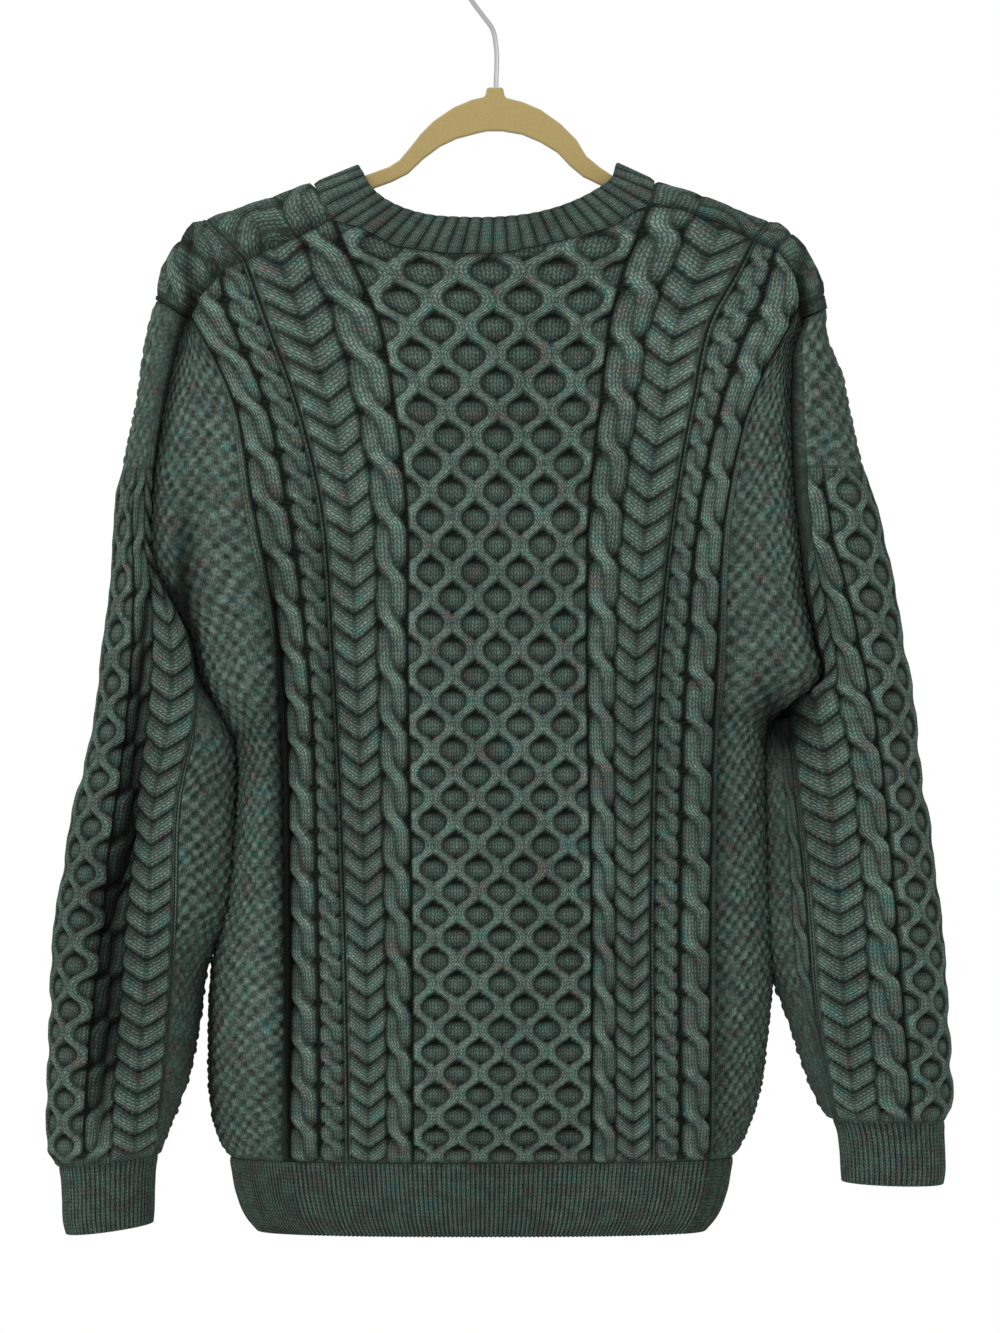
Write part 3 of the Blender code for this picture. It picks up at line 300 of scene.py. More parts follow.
def body_x(u, z):
    """Where the chart's column at u lies across the body at this height."""
    left, right = read(BODY, z, "left", "right")
    at = read(CHART, z, *LINES)
    at[0] = np.maximum(at[0], left + 1.0)
    at[5] = np.minimum(at[5], right - 1.0)
    knots = [-TWIST_OUT, -TWIST_IN, -HONEYCOMB, HONEYCOMB, TWIST_IN, TWIST_OUT]
    x = spread(u, knots, at, np.zeros(np.broadcast(u, z).shape))
    beyond = unit((np.abs(u) - TWIST_OUT) / (SIDE - TWIST_OUT))
    across = np.sin(beyond * math.pi / 2)
    x = np.where(u < -TWIST_OUT, at[0] + (left + SEAM - at[0]) * across, x)
    return np.where(u > TWIST_OUT, at[5] + (right - SEAM - at[5]) * across, x)


def body_y(x, z):
    """Half the body's depth at this place, before its folds."""
    left, right, deep = read(BODY, z, "left", "right", "depth")
    middle, half = (left + right) / 2, (right - left) / 2
    share = unit(np.abs(x - middle) / half)
    edge = np.where(x < middle, armhole_depth(-1, z), armhole_depth(1, z))
    edge = np.minimum(edge, 0.85 * deep)
    bow = (1 - share**2.6) ** (1 / 2.6)
    neck = NECK_BOW * bell(x, NECK_BOW_WIDE) * unit((z + 330) / 90)
    return (edge + (deep - edge) * bow + neck) * ridge_round(x, z)


def armhole_edge(side, z):
    """Place and half depth of the armhole seam at this height."""
    seam, deep = read(BODY, z, "left" if side < 0 else "right", "depth")
    deep = np.minimum(armhole_depth(side, z), 0.85 * deep)
    return seam, deep * ridge_round(seam, z)


# Soft troughs and ridges of the body, behind (-1) or in front (1): heights, and for each of them the
# place across, half width and depth. A minus depth stands proud.
BACK_HEIGHTS = [-842, -740, -600, -480, -390]
FOLDS = [dict(zip(("face", "z", "x", "wide", "deep"), row)) for row in (
    (-1, BACK_HEIGHTS, [-143, -141, -145, -150, -163], [13, 14, 15, 14, 12], [6, 11, 12, 8, 0]),
    (-1, BACK_HEIGHTS, [-172, -171, -168, -178, -190], [15, 16, 16, 16, 15], [-3, -5, -6, -4, 0]),
    (-1, BACK_HEIGHTS, [152, 153, 153, 157, 166], [13, 14, 14, 13, 12], [3, 5, 6, 4, 0]),
    (-1, [-700, -600, -520, -430, -340], [-104, -108, -112, -120, -134],
     [12, 14, 15, 14, 12], [0, 4, 5, 4, 0]),
    (-1, [-760, -640, -540, -420, -330], [110, 110, 112, 121, 133], [12, 14, 15, 14, 12], [0, 3, 4, 3, 0]),
    (1, [-842, -720, -600, -480, -400], [-146, -150, -152, -158, -166],
     [14, 16, 16, 15, 12], [5, 9, 9, 6, 0]),
    (1, [-842, -740, -600, -500, -380], [148, 150, 155, 158, 168], [13, 15, 16, 14, 12], [5, 8, 8, 5, 0]),
    (1, [-760, -600, -480, -400, -320], [60, 42, 30, 18, 6], [16, 20, 20, 18, 14], [0, 4, 5, 4, 0]),
)]


def fold_depth(x, z, face):
    """How far the folds draw the body in at this place."""
    sink = np.zeros(np.broadcast(x, z).shape)
    for fold in FOLDS:
        if fold["face"] != face:
            continue
        at, wide, deep = read(fold, z, "x", "wide", "deep")
        sink += deep * bell(x - at, wide)
    return sink


def body_point(u, z, face):
    """A point of the body's surface, with its folds: face is -1 behind and 1 in front."""
    x = body_x(u, z)
    rise = unit((z - BOTTOM) / 60)
    sink = fold_depth(x, z, face) * rise * rise * (3 - 2 * rise)
    return np.stack([x, face * np.maximum(body_y(x, z) - sink, SEAM), z + 0 * x], axis=-1)


def top_of(u, edge):
    """Height where the chart's column at u meets a top edge."""
    low, high = np.full(np.shape(u), -330.0), np.full(np.shape(u), -160.0)
    for _ in range(40):
        z = (low + high) / 2
        under = z < np.interp(body_x(u, z), edge["x"], edge["z"])
        low, high = np.where(under, z, low), np.where(under, high, z)
    return low


def strip_point(u, turn):
    """Front panel over the shoulder: turn runs from 1 in front to -1 at the seam behind."""
    z = top_of(u, BACK_TOP)
    x = body_x(u, z)
    out = []
    for side in (-1, 1):
        seam_x = np.array([p for p in BACK_TOP["x"] if p * side >= NECK[side] * side], float)
        seam_z = np.interp(seam_x, BACK_TOP["x"], BACK_TOP["z"])
        order = slice(None, None, side)
        seam_x, seam_z = seam_x[order], seam_z[order]
        length = run_of(np.hypot(np.diff(seam_x), np.diff(seam_z)))
        share = np.interp(x * side, seam_x * side, length) / length[-1]
        out.append(along_line(RIDGE[side]["x"], RIDGE[side]["z"], share))
    ridge_x = np.where(x < 0, out[0][0], out[1][0])
    ridge_z = np.where(x < 0, out[0][1], out[1][1])
    reach = turn * turn
    px, pz = ridge_x + (x - ridge_x) * reach, ridge_z + (z - ridge_z) * reach
    seam_y = body_y(x, z)
    return np.stack([px, np.sign(turn) * seam_y * np.sin(np.abs(turn) * math.pi / 2) ** 0.9, pz], -1)


def sleeve_section(side, z):
    """Edges, half depth, start angle and tilt of a sleeve at this height."""
    outer, inner, deep, tilt = read(SLEEVE[side], z, "outer", "inner", "depth", "tilt")
    seam, seam_deep = armhole_edge(side, z)
    above = z > UNDERARM[side]
    inner = np.where(above, seam + side * SEAM, inner)
    start = np.clip(np.where(above, seam_deep, SEAM) / deep, 0, 0.97)
    return outer, inner, deep, np.arcsin(start), tilt


def sleeve_point(side, w, z):
    """A sleeve's base surface: w runs from -1 behind, round the outer edge at 0, to 1 in front."""
    outer, inner, deep, start, tilt = sleeve_section(side, z)
    half = (outer - inner) / (1 + np.cos(start))
    angle = math.pi - np.abs(w) * (math.pi - start)
    x = outer - half - half * np.cos(angle)
    y = np.sign(w) * deep * np.sin(angle)
    fold, hollow = read(SLEEVE[side], z, "fold", "fold_deep")
    sink = hollow * bell(x - fold, FOLD_WIDE[side]) * unit((1 - np.abs(w)) / 0.12)
    y = np.where(w < 0, y + sink, y - 0.6 * sink)
    z = z - tilt * np.abs(x - inner) / np.abs(outer - inner)
    head = unit((z - HEAD_FROM) / (CORNER[side][1] - HEAD_FROM)) ** 1.5
    strip = strip_point(side * (SIDE + 0 * w), np.clip(w, -1, 1))
    corner = strip_point(side * (SIDE + 0 * w), 1 + 0 * w)
    seam, seam_deep = armhole_edge(side, z)
    x += head * (seam + strip[..., 0] - corner[..., 0] - x)
    y += head * (strip[..., 1] * seam_deep / corner[..., 1] - y)
    return np.stack([x, y, z + head * (strip[..., 2] - corner[..., 2] - 0.8)], -1)


def sleeve_arc(side, z):
    """Length of half a sleeve's section, from the outer edge to its seam."""
    outer, inner, deep, start, _ = sleeve_section(side, z)
    half = np.abs(outer - inner) / (1 + np.cos(start))
    return (math.pi - start) * (half + deep) / 2


def sleeve_w(side, u, z):
    """The place round a sleeve of its chart's column at u: the back's lines, then on round the front."""
    table = SLEEVE_CHART[side]
    z = np.clip(z, table["z"][0], table["z"][-1])
    outer, inner, deep, start, _ = sleeve_section(side, z)
    half = (outer - inner) / (1 + np.cos(start))
    arc = sleeve_arc(side, z)
    knots, at = [-SLEEVE_END], [-1 + 0 * arc]
    for line, place in (("twist", -SLEEVE_TWIST), ("vee", -SLEEVE_VEE), ("rope", -SLEEVE_ROPE),
                        ("cell", -CELL / 2)):
        x = smooth(z, table["z"], table[line])
        angle = np.arccos(np.clip((outer - half - x) / half, -1, 1))
        knots.append(place)
        at.append(-(math.pi - angle) / (math.pi - start))
    for k in range(1, 5):
        at[k] = np.maximum(at[k], at[k - 1] + (0.07 if k == 1 else 0.03))
    front = np.minimum(at[-1] + (SLEEVE_TWIST + CELL / 2) * SLEEVE_PACE / arc, 0.93)
    knots += [SLEEVE_TWIST, SLEEVE_END]
    at += [front, 1 + 0 * arc]
    return spread(u, knots, at, at[0] + 0 * u)


def repeat_at(z):
    """Count of cable repeats from the hem up to this height."""
    return np.interp(z, REPEATS["z"], REPEATS["count"])


def neck_column(side):
    """The chart's column that ends where the shoulder seam meets the neck."""
    low, high = 0.0, SIDE
    for _ in range(40):
        u = np.array([side * (low + high) / 2])
        x = body_x(u, top_of(u, BACK_TOP))[0]
        if x * side < NECK[side] * side:
            low = (low + high) / 2
        else:
            high = (low + high) / 2
    return side * (low + high) / 2


NECK_U = {side: neck_column(side) for side in (-1, 1)}


def hem_point(face):
    """The surface of a hem band: share runs across the body and row from the free edge to the seam."""
    def point(share, row):
        down = HEM["down"][-1] + (0.5 - HEM["down"][-1]) * row
        inset = smooth(down, HEM["down"], HEM["in"])
        u = (share * 2 - 1) * SIDE
        edge = body_point(u, BOTTOM + 0 * u, face)
        middle = (BODY["left"][0] + BODY["right"][0]) / 2
        half = (BODY["right"][0] - BODY["left"][0]) / 2
        deep = BODY["depth"][0]
        x = middle + (edge[..., 0] - middle) * (half - inset) / half
        y = face * np.maximum(np.abs(edge[..., 1]) * (deep - 0.7 * inset) / deep, SEAM)
        return np.stack([x, y, BOTTOM - down], -1)

    return point


def cuff_point(side):
    """The surface of a cuff: share runs round it and row from the free edge to the seam."""
    table = CUFF[side]

    def point(share, row):
        down = np.interp(row, [0, 1], [table["down"][-1], 0.8])
        outer, inner, deep = (smooth(down, table["down"], table[k]) for k in ("outer", "inner", "depth"))
        w = share * 2 - 1
        half = (outer - inner) / 2
        start = SEAM / deep
        angle = math.pi - np.abs(w) * (math.pi - start)
        x = outer - half - half * np.cos(angle)
        tilt = SLEEVE[side]["tilt"][0]
        z = CUFF_TOP[side] - down - tilt * np.abs(x - inner) / np.abs(outer - inner)
        return np.stack([x, np.sign(w) * deep * np.sin(angle), z], -1)

    return point


def neck_outer(face, share):
    """The neckband's seam from the left ridge to the right one, behind or in front."""
    t = np.linspace(0, 0.98, 16)
    left = strip_point(NECK_U[-1] + 0 * t, face * np.maximum(t, 0.001))
    right = strip_point(NECK_U[1] + 0 * t, face * np.maximum(t[::-1], 0.001))
    u = np.linspace(NECK_U[-1], NECK_U[1], 120)[1:-1]
    middle = body_point(u, top_of(u, BACK_TOP if face < 0 else FRONT_NECK), face)
    line = np.concatenate([left, middle, right])
    length = run_of(np.linalg.norm(np.diff(line, axis=0), axis=1))
    return np.stack([np.interp(share * length[-1], length, line[:, k]) for k in range(3)], -1)


def neck_top(face, share):
    """The neckband's top edge from left to right, behind or in front."""
    table = NECK_TOP[face]
    knots = np.stack([table["x"], np.array(table["y"]) * face, table["z"]], -1).astype(float)
    length = run_of(np.linalg.norm(np.diff(knots, axis=0), axis=1))
    return np.stack([smooth(share * length[-1], length, knots[:, k]) for k in range(3)], -1)


def neck_point(share, row):
    """The band's base all round, from its seam up: share 0 to 0.5 behind, then back in front."""
    share = 0.001 + 0.998 * share
    behind = share < 0.5
    part = np.where(behind, share * 2, 2 - share * 2)
    low = np.where(behind[..., None], neck_outer(-1, part), neck_outer(1, part))
    high = np.where(behind[..., None], neck_top(-1, part), neck_top(1, part))
    v = np.interp(row, [0, 0.5, 1], [0.012, 0.5, 1.0])[..., None]
    return low + (high - low) * v


def grid_faces(rows, columns, keep=None):
    """Quads of a grid of points, row by row."""
    i, j = np.meshgrid(np.arange(rows - 1), np.arange(columns - 1), indexing="ij")
    here = (i * columns + j).ravel()
    faces = np.stack([here, here + 1, here + columns + 1, here + columns], -1)
    return faces if keep is None else faces[keep[:-1, :-1].ravel() & keep[1:, 1:].ravel()]


def grid_normals(points, outward):
    """Unit normals of a grid of points, turned over where outward is -1."""
    across = np.gradient(points, axis=1)
    up = np.gradient(points, axis=0)
    normal = np.cross(across, up)
    return normal * outward / np.maximum(np.linalg.norm(normal, axis=-1, keepdims=True), 1e-9)


def blurred(values, reach, axis):
    """Running mean over this many neighbours on each side."""
    wide = [(0, 0), (0, 0)]
    wide[axis] = (reach + 1, reach)
    total = np.cumsum(np.pad(values, wide, mode="edge"), axis=axis)
    count = values.shape[axis]
    high = np.take(total, np.arange(count) + 2 * reach + 1, axis=axis)
    return (high - np.take(total, np.arange(count), axis=axis)) / (2 * reach + 1)


def hollow_shade(height):
    """1 on what stands above its neighbours and 0 in the pits between."""
    around = blurred(blurred(height, 3, 0), 5, 1)
    return unit(0.5 + (height - around) / 4.2)


def linked(name, data):
    """A new object of this data, in the scene."""
    obj = bpy.data.objects.new(name, data)
    bpy.context.scene.collection.objects.link(obj)
    return obj


def knit(name, points, place, stuff, shade, material, outward, keep=None):
    """A sheet of cloth from a grid of points in millimetres, with its place in the knitting as UV."""
    rows, columns = points.shape[:2]
    faces = grid_faces(rows, columns, keep)
    if outward < 0:
        faces = faces[:, ::-1]
    mesh = bpy.data.meshes.new(name)
    mesh.vertices.add(rows * columns)
    mesh.vertices.foreach_set("co", (points * MM).astype(np.float32).ravel())
    mesh.loops.add(faces.size)
    mesh.loops.foreach_set("vertex_index", faces.astype(np.int32).ravel())
    mesh.polygons.add(len(faces))
    mesh.polygons.foreach_set("loop_start", np.arange(0, faces.size, 4, dtype=np.int32))
    mesh.update(calc_edges=True)
    for layer, values in (("knit", place), ("stuff", stuff), ("shade", shade)):
        uv = mesh.uv_layers.new(name=layer)
        flat = values.reshape(-1, 2)[faces.ravel()]
        uv.data.foreach_set("uv", flat.astype(np.float32).ravel())
    mesh.polygons.foreach_set("use_smooth", np.ones(len(faces), bool))
    mesh.materials.append(material)
    obj = linked(name, mesh)
    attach(obj, "root")
    return obj


class Chart:
    """Layers of cable over a purl ground: height, place across and along a ply, and kind of knitting.

    The kind is 0 for knit stitches, 0.5 for purl and 1 for moss.
    """

    def __init__(self, u, turns):
        self.turns = turns
        self.along = turns * 33.0 + 0 * u
        self.height = 0 * self.along
        self.across = u + 0 * turns
        self.kind = 0.5 + 0 * self.along

    def lay(self, height, across, along=None):
        """Lays knit stitches wherever this height is above what is there."""
        on = height > self.height
        self.height = np.where(on, height, self.height)
        self.across = np.where(on, across, self.across)
        self.kind = np.where(on, 0.0, self.kind)
        if along is not None:
            self.along = np.where(on, along, self.along)

    def honeycomb(self, u, lead, limit):
        """Strands that part and meet round low domes, from the middle out to the limit."""
        turns = self.turns + lead
        inside = np.abs(u) < limit
        for parity in (0, 1):
            du, dt = u - parity * CELL / 2, turns - parity / 2
            du, dt = du - CELL * np.round(du / CELL), dt - np.round(dt)
            dome = 0.5 * unit(1 - (du / 12.5) ** 4 - ((dt + 0.06) / 0.25) ** 2) ** 0.6
            self.lay(np.where(inside, dome, 0), du + 2.0)
        place = u / (CELL / 2) - 0.5
        for offset in (-1, 0, 1):
            strand = np.round(place) + offset
            sway = np.where(np.mod(strand, 2) < 0.5, 1.0, -1.0) * np.cos(2 * math.pi * turns)
            middle = (strand + 0.5) * CELL / 2 + 6.1 * sway * (1.25 - 0.25 * sway**2)
            cord = unit(1 - np.abs((u - middle) / 5.4) ** 2.4) ** 0.5
            self.lay(np.where(inside, cord, 0), u - middle)

    def rope(self, s, width, phase, raised):
        """Two plies that cross over each other: s is measured from the rope's middle."""
        swing = width * 0.21 * np.tanh(2.6 * np.cos(math.pi * phase))
        over = np.sin(math.pi * phase) ** 3
        for ply in (1, -1):
            cord = unit(1 - np.abs((s - ply * swing) / (width * 0.315)) ** 2.6) ** 0.5
            cord = np.where(np.abs(s) < width / 2 + 1, cord * (0.78 + 0.42 * ply * over), 0)
            self.lay(raised * cord, s - ply * swing)

    def chevron(self, s, width, phase, raised):
        """Nested Vs that point down, two to a repeat."""
        part = np.mod(2 * phase - 1.35 * np.sqrt(s * s + 2.5) / width, 1)
        low = np.sqrt(unit(1 - ((0.3 - part) / 0.3) ** 2))
        arm = np.where(part < 0.3, 0.25 + 0.75 * low, 1 - 0.75 * unit((part - 0.3) / 0.7) ** 1.5)
        arm *= 1 - 0.3 * bell(s, 1.8)
        arm *= unit((width / 2 + 1.2 - np.abs(s)) / 3) ** 0.5
        self.lay(raised * arm, part * 13 - 4.0, 1.25 * np.abs(s))

    def twist(self, s):
        """Two thin cords side by side."""
        thin = np.sqrt(unit(1 - ((np.abs(s) - 1.35) / 1.25) ** 2))
        self.lay(0.42 * thin, s)


def moss(u, along):
    """Lumps of the moss stitch, uneven in size and place."""
    across = u + 2.2 * np.sin(along / 9.1 + np.sin(u / 12)) + 0.8 * np.sin(along / 4.7 + u / 7)
    up = along + 2.0 * np.sin(u / 8.3 + 1.3) + 0.9 * np.sin(along / 14 - u / 5.1)
    loud = 0.75 + 0.25 * np.sin(u / 5.4 + along / 9) * np.sin(along / 6.2 - u / 17)
    seeds = np.sin(math.pi * across / 6.6) * np.sin(math.pi * up / 5.7)
    return 0.24 + 0.30 * loud * np.tanh(1.8 * seeds)


def body_chart(u, turns):
    """The whole body's chart in fine detail."""
    chart = Chart(u, turns)
    s = np.abs(u)
    right = u > 0
    chart.honeycomb(u, 0.75, HONEYCOMB)
    for k, middle in enumerate(CABLES["middle"]):
        pace = np.where(right, OUTER_PACE[1], OUTER_PACE[-1]) if middle > TWIST_IN else 1.0
        phase = CABLES["speed"][k] * turns * pace + np.where(right, CABLES["right"][k], CABLES["left"][k])
        width, raised = CABLES["width"][k], CABLES["raised"][k]
        if CABLES["kind"][k] == "rope":
            chart.rope(u - np.where(right, middle, -middle), width, phase, raised)
        else:
            chart.chevron(s - middle, width, phase, raised)
    chart.twist(s - TWIST_IN)
    chart.twist(s - OUTER_TWIST)
    chart.kind = np.where(s > MOSS_FROM, 1.0, chart.kind)
    chart.height = np.where(chart.kind == 1, moss(u, chart.along), chart.height)
    return chart


# Creases that lie in shadow on the back, by height: place across, how dark and how wide.
BACK_CREASES = [
    {"z": [-560, -514, -470, -435, -400, -365], "x": [-199, -204, -212, -215, -213, -207],
     "dark": [0.9, 0.95, 0.95, 0.85, 0.5, 0], "wide": [6, 7, 8, 9, 9, 9]},
    {"z": [-790, -700, -560, -450, -340], "x": [-143, -143, -145, -152, -164],
     "dark": [0.3, 0.6, 0.6, 0.5, 0], "wide": [5, 5, 4, 3, 3]},
]
# The same in the long fold behind the left sleeve.
LONG_FOLD = {"z": [-830, -807, -775, -712, -657, -604, -545, -500, -467, -425, -387, -350],
             "x": [-277, -276, -271, -266, -263, -254, -248, -245, -242, -238.5, -236.5, -233],
             "dark": [0, 0.6, 0.9, 0.95, 0.97, 0.98, 0.98, 0.94, 0.82, 0.5, 0.15, 0],
             "wide": [7, 10, 13, 14, 14, 12, 10, 7, 4.5, 3.5, 3, 3]}
# Shadows round the flap of cloth below the right arm: how dark, place and reach across, then by height.
BODY_FLAP = (0.8, 190, 9, -536, 26)
SLEEVE_FLAP = ((1.1, 200, 16, -536, 30), (0.5, 216, 12, -500, 60))
DARKEST = 0.93


def crease(x, z, table):
    """Darkness of a crease's painted shade at this place."""
    at, sink, reach = read(table, z, "x", "dark", "wide")
    return sink * bell(x - at, reach)


def spot(x, z, shadow):
    """Darkness of a round shadow at this place."""
    dark, at_x, wide, at_z, tall = shadow
    return dark * np.exp(-(((x - at_x) / wide) ** 2) - ((z - at_z) / tall) ** 2)


def body_dark(x, z, face):
    """Where the body's troughs and seams lie in shadow."""
    dark = np.zeros(x.shape)
    for fold in FOLDS:
        if fold["face"] == face and max(fold["deep"]) > 0:
            at, wide, deep = read(fold, z, "x", "wide", "deep")
            dark += 0.75 * unit(deep / 10) * bell(x - at, 0.55 * wide)
    for side, edge in ((-1, "left"), (1, "right")):
        reach = np.abs(x - smooth(z, BODY["z"], BODY[edge]))
        joined = unit((z - UNDERARM[side]) / 20)
        dark += (0.35 + 0.35 * joined) * bell(reach, 5.0)
    dark += spot(x, z, BODY_FLAP)
    if face < 0:
        for table in BACK_CREASES:
            dark += crease(x, z, table)
    return dark


def sleeve_dark(side, w, x, z):
    """Where a sleeve's fold and seams lie in shadow."""
    arc = sleeve_arc(side, z)
    resting = unit((z - RESTS_FROM[side]) / 14)
    wide = 5 + (6 if side < 0 else 2) * resting
    dark = (0.3 + 0.65 * resting) * bell((1 - np.abs(w)) * arc, wide)
    fold = crease(x, z, LONG_FOLD) if side < 0 else sum(spot(x, z, shadow) for shadow in SLEEVE_FLAP)
    return dark + np.where(w < 0, fold, 0.5 * fold)


def sleeve_chart(side, u, z):
    """A sleeve's chart in fine detail: cables up to the moss of its head."""
    turns = repeat_at(z)
    chart = Chart(u, turns)
    lead = SLEEVE_LEAD[side]
    cabled = MOSS_HEAD - z > 0
    chart.honeycomb(u, lead["cell"], SLEEVE_CELLS)
    chart.rope(u - np.where(u > 0, SLEEVE_ROPE, -SLEEVE_ROPE), 18, turns + lead["rope"], 1.0)
    chart.chevron(np.abs(u) - SLEEVE_VEE, 25, turns + lead["vee"], 0.85)
    chart.twist(np.abs(u) - SLEEVE_TWIST)
    if side > 0:
        chart.rope(u - EXTRA_ROPE, 16, turns + lead["rope"], 0.9)
    moss_end = EXTRA_MOSS if side > 0 else -SLEEVE_MOSS
    chart.kind = np.where((u < moss_end) | (u > SLEEVE_MOSS), 1.0, chart.kind)
    pace = sleeve_arc(side, z) * (sleeve_w(side, u + 1, z) - sleeve_w(side, u - 1, z)) / 2
    roomy = unit(pace / 0.35 - 1)
    chart.height *= roomy * unit((MOSS_HEAD + 12 - z) / 30)
    chart.kind = np.where(cabled, chart.kind, 1.0)
    lumps = moss(0.8 * u, chart.along) * roomy
    chart.height = np.where(chart.kind == 1, np.maximum(lumps, chart.height * 0.9), chart.height)
    chart.across = np.where(cabled & (chart.kind < 1), chart.across, u + 0 * turns)
    return chart


# How a sheet runs on below and above: in lengths of its last row, and how deep it is drawn in.
TUCK_LOW, TUCK_HIGH = (0.9, 1.6), (2.0, 2.4)


def tucked(points, normal, high):
    """Adds a row below a sheet, and one above it too if high, drawn in under the next piece."""
    rows = [(points[0] + (points[0] - points[1]) * TUCK_LOW[0] - normal[0] * TUCK_LOW[1])[None], points]
    if high:
        above = points[-1] + (points[-1] - points[-2]) * TUCK_HIGH[0] - normal[-1] * TUCK_HIGH[1]
        rows.append(above[None])
    return np.concatenate(rows)


def also(values, high):
    """Values for the rows that tucked adds, the same as their neighbours'."""
    return np.concatenate([values[:1], values] + [values[-1:]] * high)


def chart_cloth(name, base, chart, height, dark, material, outward, high, keep=None):
    """Cloth raised by this height over its base, with its ends tucked under the next pieces."""
    normal = grid_normals(base, outward)
    points = tucked(base + normal * height[..., None], normal, high)
    place = np.stack([chart.across, chart.along], -1) * MM
    stuff = np.stack([chart.kind, chart.height], -1)
    # Painted shade: the pits of the relief from its height, and creases and seams from the darkness given,
    # held below DARKEST.
    shade = np.stack([hollow_shade(height), 1 - np.clip(dark, 0, DARKEST)], -1)
    if keep is not None:
        keep = also(keep, high)
    place, stuff, shade = (also(values, high) for values in (place, stuff, shade))
    return knit(name, points, place, stuff, shade, material, outward, keep)


def body_places():
    """Columns across the body: close where the cables are."""
    plain_side = np.linspace(SIDE, 155, 37)[:-1]
    fine = np.linspace(-155, 155, 233)
    u = np.concatenate([-plain_side, fine, plain_side[::-1]])
    for side in (-1, 1):
        u[np.abs(u - NECK_U[side]).argmin()] = NECK_U[side]
    return u


def body_cloth(name, face, material, rows, over_rows):
    """Back or front, with the front's strip that runs over each shoulder to the seam behind."""
    u = body_places()
    shoulder = (u <= NECK_U[-1]) | (u >= NECK_U[1])
    top = top_of(u, BACK_TOP)
    if face > 0:
        top = np.where(shoulder, top, top_of(u, FRONT_NECK))
    v = np.linspace(0, 1, rows)[:, None]
    z = BOTTOM + (top - SEAM - BOTTOM) * v
    uu = np.broadcast_to(u, z.shape)
    base = body_point(uu, z, face)
    edge = (z - BOTTOM) / 5
    keep = None
    turns = repeat_at(z)
    raised = np.ones(z.shape)
    if face > 0:
        turn = np.linspace(1, -STRIP_END, over_rows + 1)[1:, None] + 0 * u
        rim = (u == NECK_U[-1]) | (u == NECK_U[1])
        strip = strip_point(np.broadcast_to(u - 4 * np.sign(u) * rim, turn.shape), turn)
        base = np.concatenate([base, strip])
        edge = np.where(shoulder, edge, np.minimum(edge, (top - z) / 10))
        edge = np.concatenate([edge, np.clip((turn + STRIP_END) / 0.12, 0.4, 1)])
        turns = np.concatenate([turns, repeat_at(top) + (1 - turn) * 1.2])
        raised = np.concatenate([raised, 1 - (1 - STRIP_RAISE) * unit((1 - turn) / 0.3)])
        uu = np.broadcast_to(u, turns.shape)
        keep = np.ones(turns.shape, bool)
        keep[rows:, :] = shoulder
    else:
        edge = np.minimum(edge, (1 - v) * (top - BOTTOM) / 3 + 0.15)
    chart = body_chart(uu, turns)
    height = CABLE * RAISE * chart.height * unit(edge) * raised
    if face > 0:
        height[rows:, rim] = -1.4
    dark = body_dark(base[..., 0], base[..., 2], face)
    # Painted shade along the seam where the front's strip meets the back behind each shoulder, and under the
    # back's top edge.
    if face > 0:
        dark[rows:] += 0.6 * bell(turn + STRIP_END, 0.14)
    else:
        dark += 0.65 * bell(top - z, 4.5)
    return chart_cloth(name, base, chart, height, dark, material, -face, face < 0, keep)


def sleeve_cloth(name, side, material, rows):
    """A sleeve with its chart, open along the underarm and the armhole, its columns close at the cables."""
    u = np.concatenate([np.linspace(-SLEEVE_END, -100, 24)[:-1], np.linspace(-100, SLEEVE_MOSS, 184),
                        np.linspace(SLEEVE_MOSS, SLEEVE_END, 25)[1:]])
    bottom, top = CUFF_TOP[side], CORNER[side][1] - 0.5
    z = bottom + (top - bottom) * np.linspace(0, 1, rows)[:, None] + 0 * u
    uu = np.broadcast_to(u, z.shape)
    w = sleeve_w(side, uu, z)
    base = sleeve_point(side, w, z)
    chart = sleeve_chart(side, uu, z)
    edge = unit(np.minimum((z - bottom) / 9, (top - z) / 4))
    height = CABLE * RAISE * chart.height * edge
    dark = sleeve_dark(side, w, base[..., 0], z)
    return chart_cloth(name, base, chart, height, dark, material, side, True)


def rib_height(share, count):
    """A single rib: a round ridge and a narrow furrow."""
    return np.abs(np.cos(math.pi * share * count)) ** 0.7


def rib_cloth(name, point, material, kind, outward):
    """A ribbed band from its free edge, rolled in, up to its seam. The neckband runs the other way."""
    band = BANDS[kind]
    upward = kind == "neck"
    share = np.linspace(0, 1, band["columns"])[None, :]
    row = np.linspace(0, 1, BAND_ROWS)[:, None]
    base = point(share + 0 * row, row + 0 * share)
    normal = grid_normals(base, outward)
    free = row if upward else 1 - row
    high = rib_height(share, band["ribs"])
    ribs = band["deep"] * high * unit(free * band["tall"] / 5 + 0.25)
    points = base + normal * ribs[..., None]
    edge, inner = (-1, -2) if upward else (0, 1)
    step = base[edge] - base[inner]
    step /= np.linalg.norm(step, axis=-1, keepdims=True)
    roll = [points[edge] - normal[edge] * ROLL * (1 - math.cos(a)) + step * ROLL * math.sin(a)
            for a in np.arange(1, 7) / 6 * math.pi]
    extra = np.stack(roll + [roll[-1] - step * back for back in ROLL_BACK])
    points = np.concatenate([points, extra] if upward else [extra[::-1], points])
    middle = points[:, band["columns"] // 3]
    down = run_of(np.linalg.norm(np.diff(middle, axis=0), axis=-1))[:, None]
    place = np.stack([share * band["length"] * MM + 0 * down, down * MM + 0 * share], -1)
    high = np.broadcast_to(high, points.shape[:2])
    stuff = np.stack([0 * high, 0.5 * high], -1)
    # Painted shade in the furrows between the ribs.
    shade = np.stack([0.12 + 0.75 * high, 1 + 0 * high], -1)
    return knit(name, points, place, stuff, shade, material, outward)


